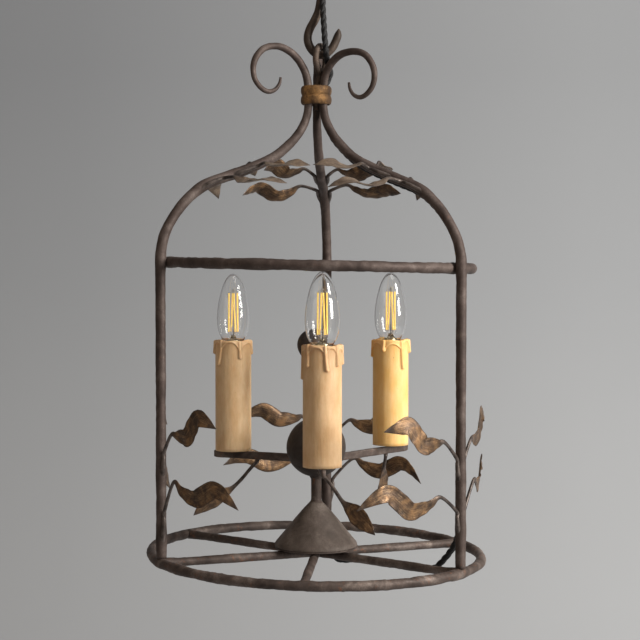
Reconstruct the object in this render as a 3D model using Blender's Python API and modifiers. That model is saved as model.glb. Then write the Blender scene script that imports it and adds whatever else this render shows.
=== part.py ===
"""Hanging lantern: a wrought-iron cage of three uprights and two rings, with leaves, three candle lights on a
central column, and the S-hook, twisted flex and ceiling rose that it hangs from.

Metres, +Z up. Everything is modelled about the cage's own axis, with height 0 at the middle of the base ring,
and moved at the end so that the origin is the middle of the ceiling plate's upper face.
"""
import math

import bmesh
import bpy
from mathutils import Matrix, Vector

# ---- driving dimensions, in metres and degrees ----
GAP = 0.0003                # between pieces that touch

CAGE_RADIUS = 0.172         # middle line of the base ring and of the uprights' straight part
UPPER_RING_HEIGHT = 0.301
SHOULDER_HEIGHT = 0.176     # from the upper ring up to the middle of the collar
RING_SLOPE = 0.0215         # the hand-made cage runs down towards +X, in metres per metre
UPRIGHT_ANGLES = {"left": 206.0, "right": 326.0, "back": 86.0}
UPRIGHT_ROD = 0.0051        # radii of the round bars
BASE_RING_ROD = 0.0050
UPPER_RING_ROD = 0.0052
BASE_BAR_ROD = 0.0044
NECK_ROD = 0.0043           # an upright where the collar holds it
NECK_RADIUS = 0.0090        # from the axis to each upright inside the collar
SCROLL_TIP_ROD = 0.0013

COLLAR_WALL = 0.0024
COLLAR_HEIGHT = 0.019

EYE_ROD = 0.00325
EYE_HALF_WIDTH = 0.0125     # middle line of the hanging eye
EYE_HALF_HEIGHT = 0.0137
EYE_OFFSET = 0.0047         # the eye stands this far towards +X from the cage's axis
EYE_TURN = 66.0             # the eye's plane from the X axis
EYE_PLAY = 0.0017           # between the eye and the hook in it, which it meets at a slant

HOOK_ROD = 0.0040
HOOK_LENGTH = 0.1134        # between the middle lines of the S-hook's two bends
CEILING_HOOK_DROP = 0.0740  # from the ceiling plate's face to the bottom of the ceiling hook's middle line

ROSE_RADIUS = 0.038
ROSE_HEIGHT = 0.028
ROSE_WALL = 0.0015
PLATE_THICKNESS = 0.003

FLEX_RADIUS = 0.0028

CONE_RADIUS = 0.0435
CONE_BOTTOM = 0.0080
CONE_TOP = 0.0535
CONE_WALL = 0.0013
BASE_PLATE_THICKNESS = 0.0015
COLUMN_RADIUS = 0.0054
COLUMN_BORE = 0.0038
COLUMN_BOTTOM = 0.0445
BALL_HEIGHT = 0.111
BALL_RADIUS = 0.031
BALL_WALL = 0.0022
FINIAL_HEIGHT = 0.218
FINIAL_RADIUS = 0.0168
FINIAL_LEAN = 1.6

ARM_ANGLES = {"front": 273.7, "left": 155.0, "right": 35.0}
ARM_RISE = {"front": 0.0, "left": 0.0, "right": 0.0045}    # of its far end
CANDLE_RADIUS = 0.098       # from the axis to each candle's axis
ARM_TOP = 0.1027
ARM_DEPTH = 0.0084
ARM_THICKNESS = 0.0046
SLEEVE_HEIGHT = {"front": 0.1210, "left": 0.1190, "right": 0.1147}
SLEEVE_OUTER = 0.0192
SLEEVE_BORE = 0.0180
RIM_OUTER = 0.0203
RIM_HEIGHT = 0.0065
HOLDER_RADIUS = 0.0135
HOLDER_HEIGHT = {"front": 0.1172, "left": 0.1142, "right": 0.1113}
BULB_RADIUS = 0.0175
BULB_LENGTH = 0.0745        # of the glass
CAP_RADIUS = 0.0070
CAP_LENGTH = 0.0255
GLASS_WALL = 0.0008
STICK_CIRCLE = 0.0052       # the four filament sticks stand on this radius
STICK_RADIUS = 0.0009
STICK_TURN = 20.0

LEAF_THICKNESS = 0.0014
LEAF_WIDTH = 0.0185
STEM_RADIUS = 0.0018
LOW_STEM = 0.55             # share of a low leaf's rise that its stem stays beside the upright
HIGH_STEM = 0.024           # the same on the shoulder, as a length
HIGH_TILT = {"left": 70.0, "right": 70.0, "back": 42.0}    # how far a shoulder leaf's blade leans back
# how far the low leaves bend in from the cage's round: towards larger angles, towards smaller
BENT_IN = {"left": (0.0, 0.014), "right": (0.0, 0.0), "back": (0.0, 0.0)}

# ---- worked out ----
COLLAR_MIDDLE = UPPER_RING_HEIGHT + SHOULDER_HEIGHT
COLLAR_BORE = NECK_RADIUS + NECK_ROD + GAP
EYE_MIDDLE = COLLAR_MIDDLE + 0.0373
EYE_INNER_TOP = EYE_MIDDLE + EYE_HALF_HEIGHT - EYE_ROD
HOOK_BOTTOM = EYE_INNER_TOP - EYE_PLAY - HOOK_ROD
HOOK_TOP = HOOK_BOTTOM + HOOK_LENGTH
CEILING_HOOK_BOTTOM = HOOK_TOP - 2 * HOOK_ROD - GAP
CEILING = CEILING_HOOK_BOTTOM + CEILING_HOOK_DROP
BALL_ENTRY = 0.004          # the column's length inside the ball
ARM_START = BALL_RADIUS + GAP
ARM_END = CANDLE_RADIUS + SLEEVE_OUTER + 0.0035

IRON = "iron"
COLLECTION = "hanging_lantern"


def start_empty():
    """Removes what the scene holds and returns the two collections that the model uses."""
    for thing in list(bpy.data.objects):
        bpy.data.objects.remove(thing, do_unlink=True)
    parts = bpy.data.collections.new(COLLECTION)
    cutters = bpy.data.collections.new("cutters")
    for collection in (parts, cutters):
        bpy.context.scene.collection.children.link(collection)
    return parts, cutters


PARTS, CUTTERS = start_empty()


def material(name, colour, roughness, metallic):
    """A Principled material of one colour."""
    made = bpy.data.materials.new(name)
    made.use_nodes = True
    shader = made.node_tree.nodes["Principled BSDF"]
    shader.inputs["Base Color"].default_value = (*colour, 1.0)
    shader.inputs["Roughness"].default_value = roughness
    shader.inputs["Metallic"].default_value = metallic
    return made


MATERIALS = {
    IRON: material(IRON, (0.075, 0.058, 0.050), 0.62, 0.75),
    "gilt_iron": material("gilt_iron", (0.25, 0.15, 0.075), 0.50, 0.80),
    "gilt": material("gilt", (0.55, 0.33, 0.12), 0.40, 0.90),
    "flex_cover": material("flex_cover", (0.018, 0.018, 0.020), 0.80, 0.0),
    "black_plastic": material("black_plastic", (0.020, 0.020, 0.022), 0.45, 0.0),
    "wax": material("wax", (0.74, 0.56, 0.33), 0.55, 0.0),
    "glass": material("glass", (0.95, 0.96, 0.97), 0.05, 0.0),
    "cap_brass": material("cap_brass", (0.60, 0.50, 0.32), 0.35, 1.0),
    "filament": material("filament", (0.95, 0.70, 0.20), 0.45, 0.0),
}


def keep(thing, name, slot):
    """Names an object and its data, gives it its material and puts it among the parts."""
    thing.name = name
    thing.data.name = name
    thing.data.materials.clear()
    thing.data.materials.append(MATERIALS[slot])
    PARTS.objects.link(thing)
    return thing


def shade_smooth(mesh):
    """Smooth shading for a round piece."""
    for polygon in mesh.polygons:
        polygon.use_smooth = True


def rod(name, points, radii, slot, closed=False, resolution=2):
    """A round bar along points; radii is one radius for the whole bar, or one for each point."""
    if isinstance(radii, float):
        radii = [radii] * len(points)
    widest = max(radii)
    data = bpy.data.curves.new(name, "CURVE")
    data.dimensions = "3D"
    data.bevel_depth = widest
    data.bevel_resolution = resolution
    data.use_fill_caps = not closed
    spline = data.splines.new("POLY")
    spline.points.add(len(points) - 1)
    for target, point, radius in zip(spline.points, points, radii):
        target.co = (*point, 1.0)
        target.radius = radius / widest
    spline.use_cyclic_u = closed
    spline.use_smooth = True
    return keep(bpy.data.objects.new(name, data), name, slot)


def turned(name, profile, slot, steps=24, ring=False):
    """A turned piece: profile is (radius, height) from the top down its outer side.
    A ring's profile closes on itself; any other profile starts and ends on the axis."""
    mesh = bpy.data.meshes.new(name)
    edges = [(i, i + 1) for i in range(len(profile) - 1)]
    if ring:
        edges.append((len(profile) - 1, 0))
    mesh.from_pydata([(r, 0.0, z) for r, z in profile], edges, [])
    thing = keep(bpy.data.objects.new(name, mesh), name, slot)
    screw = thing.modifiers.new("turn", "SCREW")
    screw.axis = "Z"
    screw.angle = math.tau
    screw.steps = steps
    screw.render_steps = steps
    screw.use_merge_vertices = True
    screw.merge_threshold = 0.00001
    screw.use_smooth_shade = True
    return thing


def bar(name, size, slot, edge=0.0):
    """A rectangular bar about its own middle, with its edges rounded by edge."""
    mesh = bpy.data.meshes.new(name)
    shape = bmesh.new()
    bmesh.ops.create_cube(shape, size=1.0)
    bmesh.ops.scale(shape, vec=size, verts=shape.verts)
    shape.to_mesh(mesh)
    shape.free()
    thing = keep(bpy.data.objects.new(name, mesh), name, slot)
    if edge:
        bevel = thing.modifiers.new("edge", "BEVEL")
        bevel.width = edge
        bevel.segments = 2
    return thing


def round_hole(thing, radius, place, depth):
    """Cuts a round hole of that radius along Z, through depth above and below place."""
    mesh = bpy.data.meshes.new("cut_" + thing.name)
    shape = bmesh.new()
    bmesh.ops.create_cone(shape, cap_ends=True, segments=20, radius1=radius, radius2=radius, depth=2 * depth)
    shape.to_mesh(mesh)
    shape.free()
    cutter = bpy.data.objects.new("cut_" + thing.name, mesh)
    cutter.location = place
    cutter.hide_render = True
    cutter.display_type = "WIRE"
    CUTTERS.objects.link(cutter)
    cut = thing.modifiers.new("hole", "BOOLEAN")
    cut.operation = "DIFFERENCE"
    cut.solver = "EXACT"
    cut.object = cutter
    return cutter


def smooth(points, spans):
    """Points on a smooth curve through the given ones, with that many steps between each two."""
    line = [Vector(p) for p in points]
    line = [2 * line[0] - line[1], *line, 2 * line[-1] - line[-2]]
    found = []
    for a, b, c, d in zip(line, line[1:], line[2:], line[3:]):
        for step in range(spans):
            t = step / spans
            found.append(
                0.5 * ((2 * b) + (c - a) * t + (2 * a - 5 * b + 4 * c - d) * t * t
                       + (3 * b - a - 3 * c + d) * t ** 3)
            )
    found.append(line[-2])
    return found


def around(radius, angle, height=0.0):
    """A point at that radius and angle round the axis."""
    a = math.radians(angle)
    return Vector((radius * math.cos(a), radius * math.sin(a), height))


def on_cage(radius, angle, height):
    """The same, on the cage, whose rings and uprights run down towards +X."""
    point = around(radius, angle, height)
    point.z -= RING_SLOPE * point.x
    return point


def reach(share, top):
    """A dome radius: share runs from 0 at the neck to 1 at the cage's own radius."""
    return NECK_RADIUS + share * (top - NECK_RADIUS)


# ---- uprights ----
# the dome's outline above the upper ring: share of the way out from the neck, share of the shoulder height
DOME = [
    (1.000, 0.008), (0.993, 0.083), (0.962, 0.180), (0.880, 0.301), (0.779, 0.398), (0.675, 0.460),
    (0.537, 0.507), (0.396, 0.557), (0.253, 0.619), (0.158, 0.684), (0.063, 0.778), (0.008, 0.885),
    (0.000, 1.000),
]
# the scroll above the collar, in metres from the neck's line and from the collar's middle, with bar radii
SCROLL = [
    (0.0003, 0.010, 0.0041), (0.0030, 0.022, 0.0040), (0.0095, 0.033, 0.0039), (0.0185, 0.0415, 0.0038),
    (0.0290, 0.0465, 0.0037), (0.0395, 0.0473, 0.0036), (0.0510, 0.0435, 0.0034), (0.0595, 0.0335, 0.0032),
    (0.0623, 0.0225, 0.0030), (0.0600, 0.0115, 0.0028), (0.0530, 0.0035, 0.0026), (0.0453, 0.0005, 0.0024),
    (0.0378, 0.0030, 0.0021), (0.0328, 0.0095, 0.0017), (0.0315, 0.0160, SCROLL_TIP_ROD),
]
SCROLL_DROP = {"left": 0.0, "right": 0.0045, "back": 0.0}   # how much lower each scroll hangs


def upright_line():
    """The upright's middle line as (radius, height, bar radius), foot to scroll tip."""
    foot = BASE_RING_ROD + GAP
    line = [(CAGE_RADIUS, foot, UPRIGHT_ROD), (CAGE_RADIUS, UPPER_RING_HEIGHT * 0.9, UPRIGHT_ROD)]
    for out, up in DOME:
        thin = max(0.0, (up - 0.55) / 0.45)
        line.append((
            reach(out, CAGE_RADIUS),
            UPPER_RING_HEIGHT + up * SHOULDER_HEIGHT,
            UPRIGHT_ROD + (NECK_ROD - UPRIGHT_ROD) * min(1.0, 1.4 * thin),
        ))
    line += [(NECK_RADIUS + out, COLLAR_MIDDLE + up, thick) for out, up, thick in SCROLL]
    straight = [Vector(line[0])]
    return straight + smooth(line[1:], 2)


UPRIGHT = upright_line()


def along_upright(distance):
    """The upright's middle line at that distance from its foot: (radius, height)."""
    for a, b in zip(UPRIGHT, UPRIGHT[1:]):
        flat_a = Vector((a.x, a.y))
        flat_b = Vector((b.x, b.y))
        step = (flat_b - flat_a).length
        if distance <= step:
            return flat_a.lerp(flat_b, distance / step)
        distance -= step
    return Vector((UPRIGHT[-1].x, UPRIGHT[-1].y))


def distance_at(radius):
    """How far along the upright its dome comes in to that radius."""
    gone = 0.0
    for a, b in zip(UPRIGHT, UPRIGHT[1:]):
        flat_a = Vector((a.x, a.y))
        flat_b = Vector((b.x, b.y))
        if a.x >= radius > b.x:
            return gone + (flat_b - flat_a).length * (a.x - radius) / (a.x - b.x)
        gone += (flat_b - flat_a).length
    raise ValueError("the dome has no such radius")


def scroll_drop(place, radius, height):
    """How much lower that point of an upright is than on the others: nothing below the scroll."""
    if height < COLLAR_MIDDLE:
        return 0.0
    return SCROLL_DROP[place] * min(1.0, max(0.0, (radius - NECK_RADIUS - 0.003) / 0.030))


def make_uprights():
    for place, angle in UPRIGHT_ANGLES.items():
        points = [on_cage(p.x, angle, p.y - scroll_drop(place, p.x, p.y)) for p in UPRIGHT]
        rod("upright_" + place, points, [p.z for p in UPRIGHT], IRON)


def make_rings():
    count = 48
    inner = CAGE_RADIUS - UPRIGHT_ROD - UPPER_RING_ROD - GAP
    for name, radius, height, thick in (
        ("base_ring", CAGE_RADIUS, 0.0, BASE_RING_ROD),
        ("upper_ring", inner, UPPER_RING_HEIGHT, UPPER_RING_ROD),
    ):
        points = [on_cage(radius, 360.0 * i / count, height) for i in range(count)]
        rod(name, points, thick, IRON, closed=True)


def make_base_bars():
    """One bar right across the base ring and four half bars that butt against it."""
    end = CAGE_RADIUS - BASE_RING_ROD - 2 * GAP
    across = UPRIGHT_ANGLES["back"]
    rod("base_bar_through", [on_cage(end, across + 180, 0), on_cage(end, across, 0)], BASE_BAR_ROD, IRON)
    clear = 0.0012              # between the half bars' square ends where they meet at the middle
    start = BASE_BAR_ROD / math.sin(math.radians(30)) + clear
    half_bars = {
        "left": UPRIGHT_ANGLES["left"],
        "right": UPRIGHT_ANGLES["right"],
        "back_left": UPRIGHT_ANGLES["right"] - 180,
        "back_right": UPRIGHT_ANGLES["left"] - 180,
    }
    for place, angle in half_bars.items():
        rod("base_bar_" + place, [on_cage(start, angle, 0), on_cage(end, angle, 0)], BASE_BAR_ROD, IRON)


def make_collar():
    """Two rounded bands with a groove between them."""
    half = COLLAR_HEIGHT / 2
    outer = COLLAR_BORE + COLLAR_WALL
    edge = 0.0016
    groove = 0.0011
    shoulder = outer - 0.0004
    crown = half * 0.52
    lip = half * 0.2
    profile = [
        (COLLAR_BORE, half), (outer - edge, half), (shoulder, half - edge), (outer, crown), (shoulder, lip),
        (outer - groove, 0.0), (shoulder, -lip), (outer, -crown), (shoulder, edge - half),
        (outer - edge, -half), (COLLAR_BORE, -half),
    ]
    made = turned("collar", profile, "gilt", steps=28, ring=True)
    made.location.z = COLLAR_MIDDLE
    return made


# ---- hanging eye, hooks and rose ----
def make_eye():
    """A bar that stands between the uprights in the collar and turns over into a closed eye."""
    side = Vector((math.cos(math.radians(EYE_TURN)), math.sin(math.radians(EYE_TURN)), 0.0))
    middle = Vector((EYE_OFFSET, 0.0, EYE_MIDDLE))
    points = [
        Vector((0.0, 0.0, COLLAR_MIDDLE - COLLAR_HEIGHT * 0.8)),
        Vector((0.0003, 0.0, COLLAR_MIDDLE)),
        Vector((0.0016, 0.0, COLLAR_MIDDLE + COLLAR_HEIGHT * 0.6)),
        middle - side * 0.0012 + Vector((0.0, 0.0, -EYE_HALF_HEIGHT - 0.0028)),
    ]
    for angle in range(228, -50, -20):
        a = math.radians(angle)
        points.append(
            middle + side * (EYE_HALF_WIDTH * math.cos(a)) + Vector((0, 0, EYE_HALF_HEIGHT * math.sin(a)))
        )
    thick = [EYE_ROD] * len(points)
    return rod("hanging_eye", points, thick, IRON)


# half of the S-hook, from the middle of its shank to its tip: X and Z from the lower bend's lowest point, and
# the share of the bar's radius, drawn for a hook of DRAWN_HALF and lengthened above SHANK_START
DRAWN_HALF = 0.0567
SHANK_START = 0.030
HOOK_HALF = [
    (-0.0022, 0.0450, 1.0), (-0.0067, 0.0347, 1.0), (-0.0107, 0.0277, 1.0), (-0.0131, 0.0207, 1.0),
    (-0.0132, 0.0140, 1.0), (-0.0105, 0.0073, 1.0), (-0.0060, 0.0021, 1.0), (0.0, 0.0, 1.0),
    (0.0068, 0.0021, 1.0), (0.0125, 0.0080, 1.0), (0.0166, 0.0164, 1.0), (0.0183, 0.0222, 0.78),
    (0.0188, 0.0268, 0.16),
]


def make_s_hook():
    """The S-hook: its lower bend carries the eye, and its upper bend, where its origin is, hangs above it."""
    half = HOOK_LENGTH / 2
    middle = Vector((EYE_OFFSET, 0.0, HOOK_BOTTOM + half))
    lower = []
    for x, z, share in HOOK_HALF:
        longer = half - DRAWN_HALF if z > SHANK_START else 0.0
        lower.append((x, z + longer - half, share))
    upper = [(-x, -z, share) for x, z, share in reversed(lower)]
    line = smooth(upper + [(0.0, 0.0, 1.0)] + lower, 2)
    points = [middle + Vector((p.x, 0.0, p.y)) for p in line]
    radii = [HOOK_ROD * min(1.0, p.z) for p in line]
    made = rod("s_hook", [p - pivot_upper() for p in points], radii, IRON)
    made.location = pivot_upper()
    return made


def pivot_upper():
    """Where the S-hook turns on the ceiling hook: the ceiling hook's own middle line."""
    return Vector((EYE_OFFSET, 0.0, CEILING_HOOK_BOTTOM))


def pivot_lower():
    """Where the cage swings on the S-hook: the middle line of the hook's lower bend."""
    return Vector((EYE_OFFSET, 0.0, HOOK_BOTTOM))


def make_ceiling_hook():
    """A J-shaped hook in the YZ plane, screwed into the ceiling plate."""
    top = CEILING - PLATE_THICKNESS - GAP
    low = CEILING_HOOK_BOTTOM
    line = [
        (-0.0140, low + 0.0200), (-0.0118, low + 0.0092), (-0.0068, low + 0.0022), (0.0, low),
        (0.0068, low + 0.0024), (0.0116, low + 0.0092), (0.0118, low + 0.0188), (0.0078, low + 0.0280),
        (0.0024, low + 0.0350), (0.0, low + 0.0430),
    ]
    points = [Vector((EYE_OFFSET, p.x, p.y)) for p in smooth([(y, z, 0.0) for y, z in line], 2)]
    points.append(Vector((EYE_OFFSET, 0.0, top)))
    radii = [HOOK_ROD * min(1.0, 0.45 + 0.18 * i) for i in range(len(points))]
    return rod("ceiling_hook", points, radii, IRON)


def make_rose():
    """The ceiling plate, and the cup that covers it, open above and with a hole for the hook."""
    place = Vector((EYE_OFFSET, 0.0, 0.0))
    edge = 0.0008
    plate_radius = ROSE_RADIUS - ROSE_WALL - GAP
    plate = turned("ceiling_plate", [
        (0.0, CEILING), (plate_radius - edge, CEILING), (plate_radius, CEILING - edge),
        (plate_radius, CEILING - PLATE_THICKNESS), (0.0, CEILING - PLATE_THICKNESS),
    ], IRON, steps=32)
    plate.location = place
    low = CEILING - ROSE_HEIGHT
    hole = HOOK_ROD + GAP
    inside = ROSE_RADIUS - ROSE_WALL
    cup = turned("ceiling_cup", [
        (inside, CEILING), (ROSE_RADIUS, CEILING), (ROSE_RADIUS, low + 0.010),
        (ROSE_RADIUS - 0.002, low + 0.0045), (ROSE_RADIUS - 0.006, low + 0.001), (ROSE_RADIUS - 0.010, low),
        (hole, low), (hole, low + ROSE_WALL), (inside - 0.009, low + ROSE_WALL),
        (inside - 0.005, low + 0.0035), (inside - 0.001, low + 0.0070), (inside, low + 0.012),
    ], IRON, steps=32, ring=True)
    cup.location = place
    return cup


GLAND_PLACE = Vector((0.0222, -0.0100, 0.0))
GLAND_LENGTH = 0.022


def make_gland():
    """The flex's tapered grip under the ceiling cup."""
    top = CEILING - ROSE_HEIGHT - GAP
    made = turned("cord_gland", [
        (0.0, top), (0.0072, top), (0.0072, top - 0.004), (0.0058, top - 0.0055), (0.0040, top - GLAND_LENGTH),
        (0.0, top - GLAND_LENGTH),
    ], "black_plastic", steps=20)
    made.location = GLAND_PLACE
    return made


# ---- base, column and ball ----
BUSH_PLACE = around(0.016, UPRIGHT_ANGLES["right"] + 30)
BUSH_OUTER = 0.0050


def make_base():
    top = CONE_BOTTOM - GAP
    plate = turned("base_plate", [
        (0.0, top), (CONE_RADIUS, top), (CONE_RADIUS, top - BASE_PLATE_THICKNESS),
        (0.0, top - BASE_PLATE_THICKNESS),
    ], IRON, steps=32)
    round_hole(plate, BUSH_OUTER + GAP, BUSH_PLACE + Vector((0, 0, top)), 0.01)
    bush_top = top + 0.0015
    bush_low = top - BASE_PLATE_THICKNESS - 0.0008
    bore = FLEX_RADIUS + GAP
    bush = turned("flex_bush", [
        (bore, bush_top), (BUSH_OUTER, bush_top), (BUSH_OUTER, bush_low), (bore, bush_low),
    ], "black_plastic", steps=20, ring=True)
    bush.location = BUSH_PLACE
    hole = COLUMN_RADIUS + GAP
    rim = hole + CONE_WALL
    turned("base_cone", [
        (hole, CONE_TOP), (rim, CONE_TOP), (CONE_RADIUS - 0.0012, CONE_BOTTOM + 0.0045),
        (CONE_RADIUS, CONE_BOTTOM + 0.0016), (CONE_RADIUS, CONE_BOTTOM), (CONE_RADIUS - CONE_WALL, CONE_BOTTOM),
        (CONE_RADIUS - CONE_WALL - 0.0012, CONE_BOTTOM + 0.0035), (hole, CONE_TOP - 2 * CONE_WALL),
    ], IRON, steps=32, ring=True)


def make_column():
    top = BALL_HEIGHT - BALL_RADIUS + BALL_ENTRY
    turned("column", [
        (COLUMN_BORE, top), (COLUMN_RADIUS, top), (COLUMN_RADIUS, COLUMN_BOTTOM), (COLUMN_BORE, COLUMN_BOTTOM),
    ], IRON, steps=20, ring=True)
    hole = COLUMN_RADIUS + GAP
    inner = BALL_RADIUS - BALL_WALL
    low = -math.sqrt(BALL_RADIUS ** 2 - hole ** 2)
    inner_low = -math.sqrt(inner ** 2 - hole ** 2)
    turns = 12
    start = math.acos(hole / BALL_RADIUS)
    inner_start = math.acos(hole / inner)
    outside = [
        (BALL_RADIUS * math.cos(a), BALL_RADIUS * math.sin(a))
        for a in (math.pi / 2 - i * (math.pi / 2 + start) / turns for i in range(turns))
    ]
    outside[0] = (0.0, BALL_RADIUS)
    inside = [
        (inner * math.cos(a), inner * math.sin(a))
        for a in (-inner_start + i * (math.pi / 2 + inner_start) / turns for i in range(1, turns))
    ]
    ball = turned(
        "junction_ball", outside + [(hole, low), (hole, inner_low)] + inside + [(0.0, inner)], IRON, steps=24
    )
    ball.location.z = BALL_HEIGHT
    drop = FINIAL_HEIGHT - BALL_HEIGHT
    foot = BALL_RADIUS + GAP - drop
    entry = math.asin(COLUMN_RADIUS / FINIAL_RADIUS)
    turns = 10
    knob = [
        (FINIAL_RADIUS * math.sin(a), FINIAL_RADIUS * math.cos(a))
        for a in (i * (math.pi - entry) / turns for i in range(turns + 1))
    ]
    knob[0] = (0.0, FINIAL_RADIUS)
    finial = turned("finial", knob + [(COLUMN_RADIUS, foot + 0.0004), (0.0, foot + 0.0004)], IRON, steps=24)
    lean = Matrix.Rotation(math.radians(-FINIAL_LEAN), 4, "Y")
    finial.rotation_euler = (0.0, math.radians(-FINIAL_LEAN), 0.0)
    finial.location = Vector((0.0, 0.0, BALL_HEIGHT)) + lean.to_3x3() @ Vector((0.0, 0.0, drop))


# ---- arms and candles ----
def make_arm(place, angle):
    """A flat bar from the ball to just beyond the candle."""
    size = (ARM_END - ARM_START, ARM_THICKNESS, ARM_DEPTH)
    made = bar("arm_" + place, size, IRON, edge=0.0008)
    middle = (ARM_START + ARM_END) / 2
    made.location = around(middle, angle, ARM_TOP - ARM_DEPTH / 2 + rise_at(place, middle))
    made.rotation_euler = (0.0, -math.atan2(ARM_RISE[place], ARM_END - ARM_START), math.radians(angle))
    return made


def rise_at(place, out):
    """How far an arm has risen at that distance from the axis."""
    return ARM_RISE[place] * (out - ARM_START) / (ARM_END - ARM_START)


def make_candle(place, angle):
    """Lampholder, candle sleeve and bulb, each a body of its own."""
    foot = around(CANDLE_RADIUS, angle, ARM_TOP + GAP + rise_at(place, CANDLE_RADIUS + SLEEVE_OUTER))
    bore = CAP_RADIUS + 0.0004
    holder_top = HOLDER_HEIGHT[place]
    floor = holder_top - CAP_LENGTH + 0.004
    holder = turned("lampholder_" + place, [
        (bore, holder_top), (HOLDER_RADIUS - 0.001, holder_top), (HOLDER_RADIUS, holder_top - 0.001),
        (HOLDER_RADIUS, 0.002), (HOLDER_RADIUS + 0.002, 0.002), (HOLDER_RADIUS + 0.002, 0.0), (0.0, 0.0),
    ], "black_plastic", steps=20)
    shape = holder.data
    count = len(shape.vertices)
    shape.vertices.add(2)
    shape.vertices[count].co = (bore, 0.0, floor)
    shape.vertices[count + 1].co = (0.0, 0.0, floor)
    shape.edges.add(2)
    shape.edges[-2].vertices = (count, 0)
    shape.edges[-1].vertices = (count + 1, count)
    holder.location = foot
    rim = SLEEVE_HEIGHT[place]
    sleeve = turned("candle_sleeve_" + place, [
        (SLEEVE_BORE, rim), (RIM_OUTER - 0.0008, rim), (RIM_OUTER, rim - 0.001), (RIM_OUTER, rim - RIM_HEIGHT),
        (SLEEVE_OUTER, rim - RIM_HEIGHT - 0.002), (SLEEVE_OUTER, 0.0), (SLEEVE_BORE, 0.0),
    ], "wax", steps=28, ring=True)
    sleeve.location = foot
    cap_low = floor + GAP
    cap_high = cap_low + CAP_LENGTH
    seat = Vector((0, 0, cap_low))
    cap = turned("bulb_cap_" + place, [
        (0.0, CAP_LENGTH), (CAP_RADIUS - 0.001, CAP_LENGTH), (CAP_RADIUS, CAP_LENGTH - 0.0015),
        (CAP_RADIUS, 0.005), (0.0050, 0.003), (0.0036, 0.0), (0.0, 0.0),
    ], "cap_brass", steps=20)
    cap.location = foot + seat
    neck = CAP_LENGTH - 0.0040
    outline = bulb_outline(neck)
    inner = [(max(r - GLASS_WALL, 0.0), z) for r, z in outline]
    inner[0] = (0.0, outline[0][1] - GLASS_WALL * 2)
    inner[-1] = (CAP_RADIUS + GAP, outline[-1][1])
    glass = turned("bulb_glass_" + place, outline + inner[::-1], "glass", steps=20)
    glass.location = foot + seat
    low = CAP_LENGTH + 0.0085
    high = neck + BULB_LENGTH * 0.72
    sticks = []
    for i in range(4):
        stand = around(STICK_CIRCLE, STICK_TURN + 90 * i)
        ends = [stand + Vector((0, 0, low)), stand + Vector((0, 0, high))]
        sticks += ends if i % 2 == 0 else ends[::-1]
    start = Vector((0.0, 0.0, CAP_LENGTH + GAP))
    line = [start, start + Vector((0, 0, 0.006)), *sticks]
    filament = rod("bulb_filament_" + place, line, STICK_RADIUS, "filament", resolution=1)
    filament.location = foot + seat


def bulb_outline(neck):
    """A candle bulb's glass from its tip down to its neck: (radius, height)."""
    shares = [
        (0.0, 1.0), (0.16, 0.992), (0.30, 0.965), (0.46, 0.915), (0.62, 0.84), (0.76, 0.74), (0.88, 0.62),
        (0.96, 0.50), (1.0, 0.38), (0.98, 0.27), (0.90, 0.17), (0.74, 0.08), (0.50, 0.0),
    ]
    return [(BULB_RADIUS * r, neck + BULB_LENGTH * z) for r, z in shares]


# ---- leaves ----
def loft(name, stations, slot):
    """A solid through six-sided sections: each station is (middle, face direction, half width, half thickness).
    Stem sections are round and blade sections flat, so no single primitive or curve makes it."""
    shape = bmesh.new()
    rings = []
    last = len(stations) - 1
    for i, (middle, face, width, thickness) in enumerate(stations):
        before = stations[max(i - 1, 0)][0]
        after = stations[min(i + 1, last)][0]
        way = (after - before).normalized()
        up = (face - way * face.dot(way)).normalized()
        across = way.cross(up)
        section = [(1, 0), (0.5, 0.87), (-0.5, 0.87), (-1, 0), (-0.5, -0.87), (0.5, -0.87)]
        rings.append([
            shape.verts.new(middle + across * (a * width) + up * (b * thickness)) for a, b in section
        ])
    for first, second in zip(rings, rings[1:]):
        for i in range(6):
            shape.faces.new((first[i], first[i - 1], second[i - 1], second[i]))
    shape.faces.new(rings[0])
    shape.faces.new(rings[-1][::-1])
    bmesh.ops.recalc_face_normals(shape, faces=shape.faces)
    mesh = bpy.data.meshes.new(name)
    shape.to_mesh(mesh)
    shape.free()
    shade_smooth(mesh)
    return keep(bpy.data.objects.new(name, mesh), name, slot)


# share of the reach, which of the leaf's heights, how far towards the next of them, share of the full width
BLADE = [
    (0.26, "peak", 0.0, 0.20), (0.36, "peak", 0.5, 0.46), (0.46, "peak", 0.9, 0.80), (0.56, "dip", 0.0, 0.96),
    (0.65, "dip", 0.5, 1.00), (0.74, "hump", 0.0, 0.96), (0.82, "hump", 0.1, 0.76), (0.91, "hump", 0.5, 0.42),
    (1.00, "tip", 0.0, 0.04),
]
NEXT_HEIGHT = {"peak": "dip", "dip": "hump", "hump": "tip", "tip": "tip"}


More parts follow.
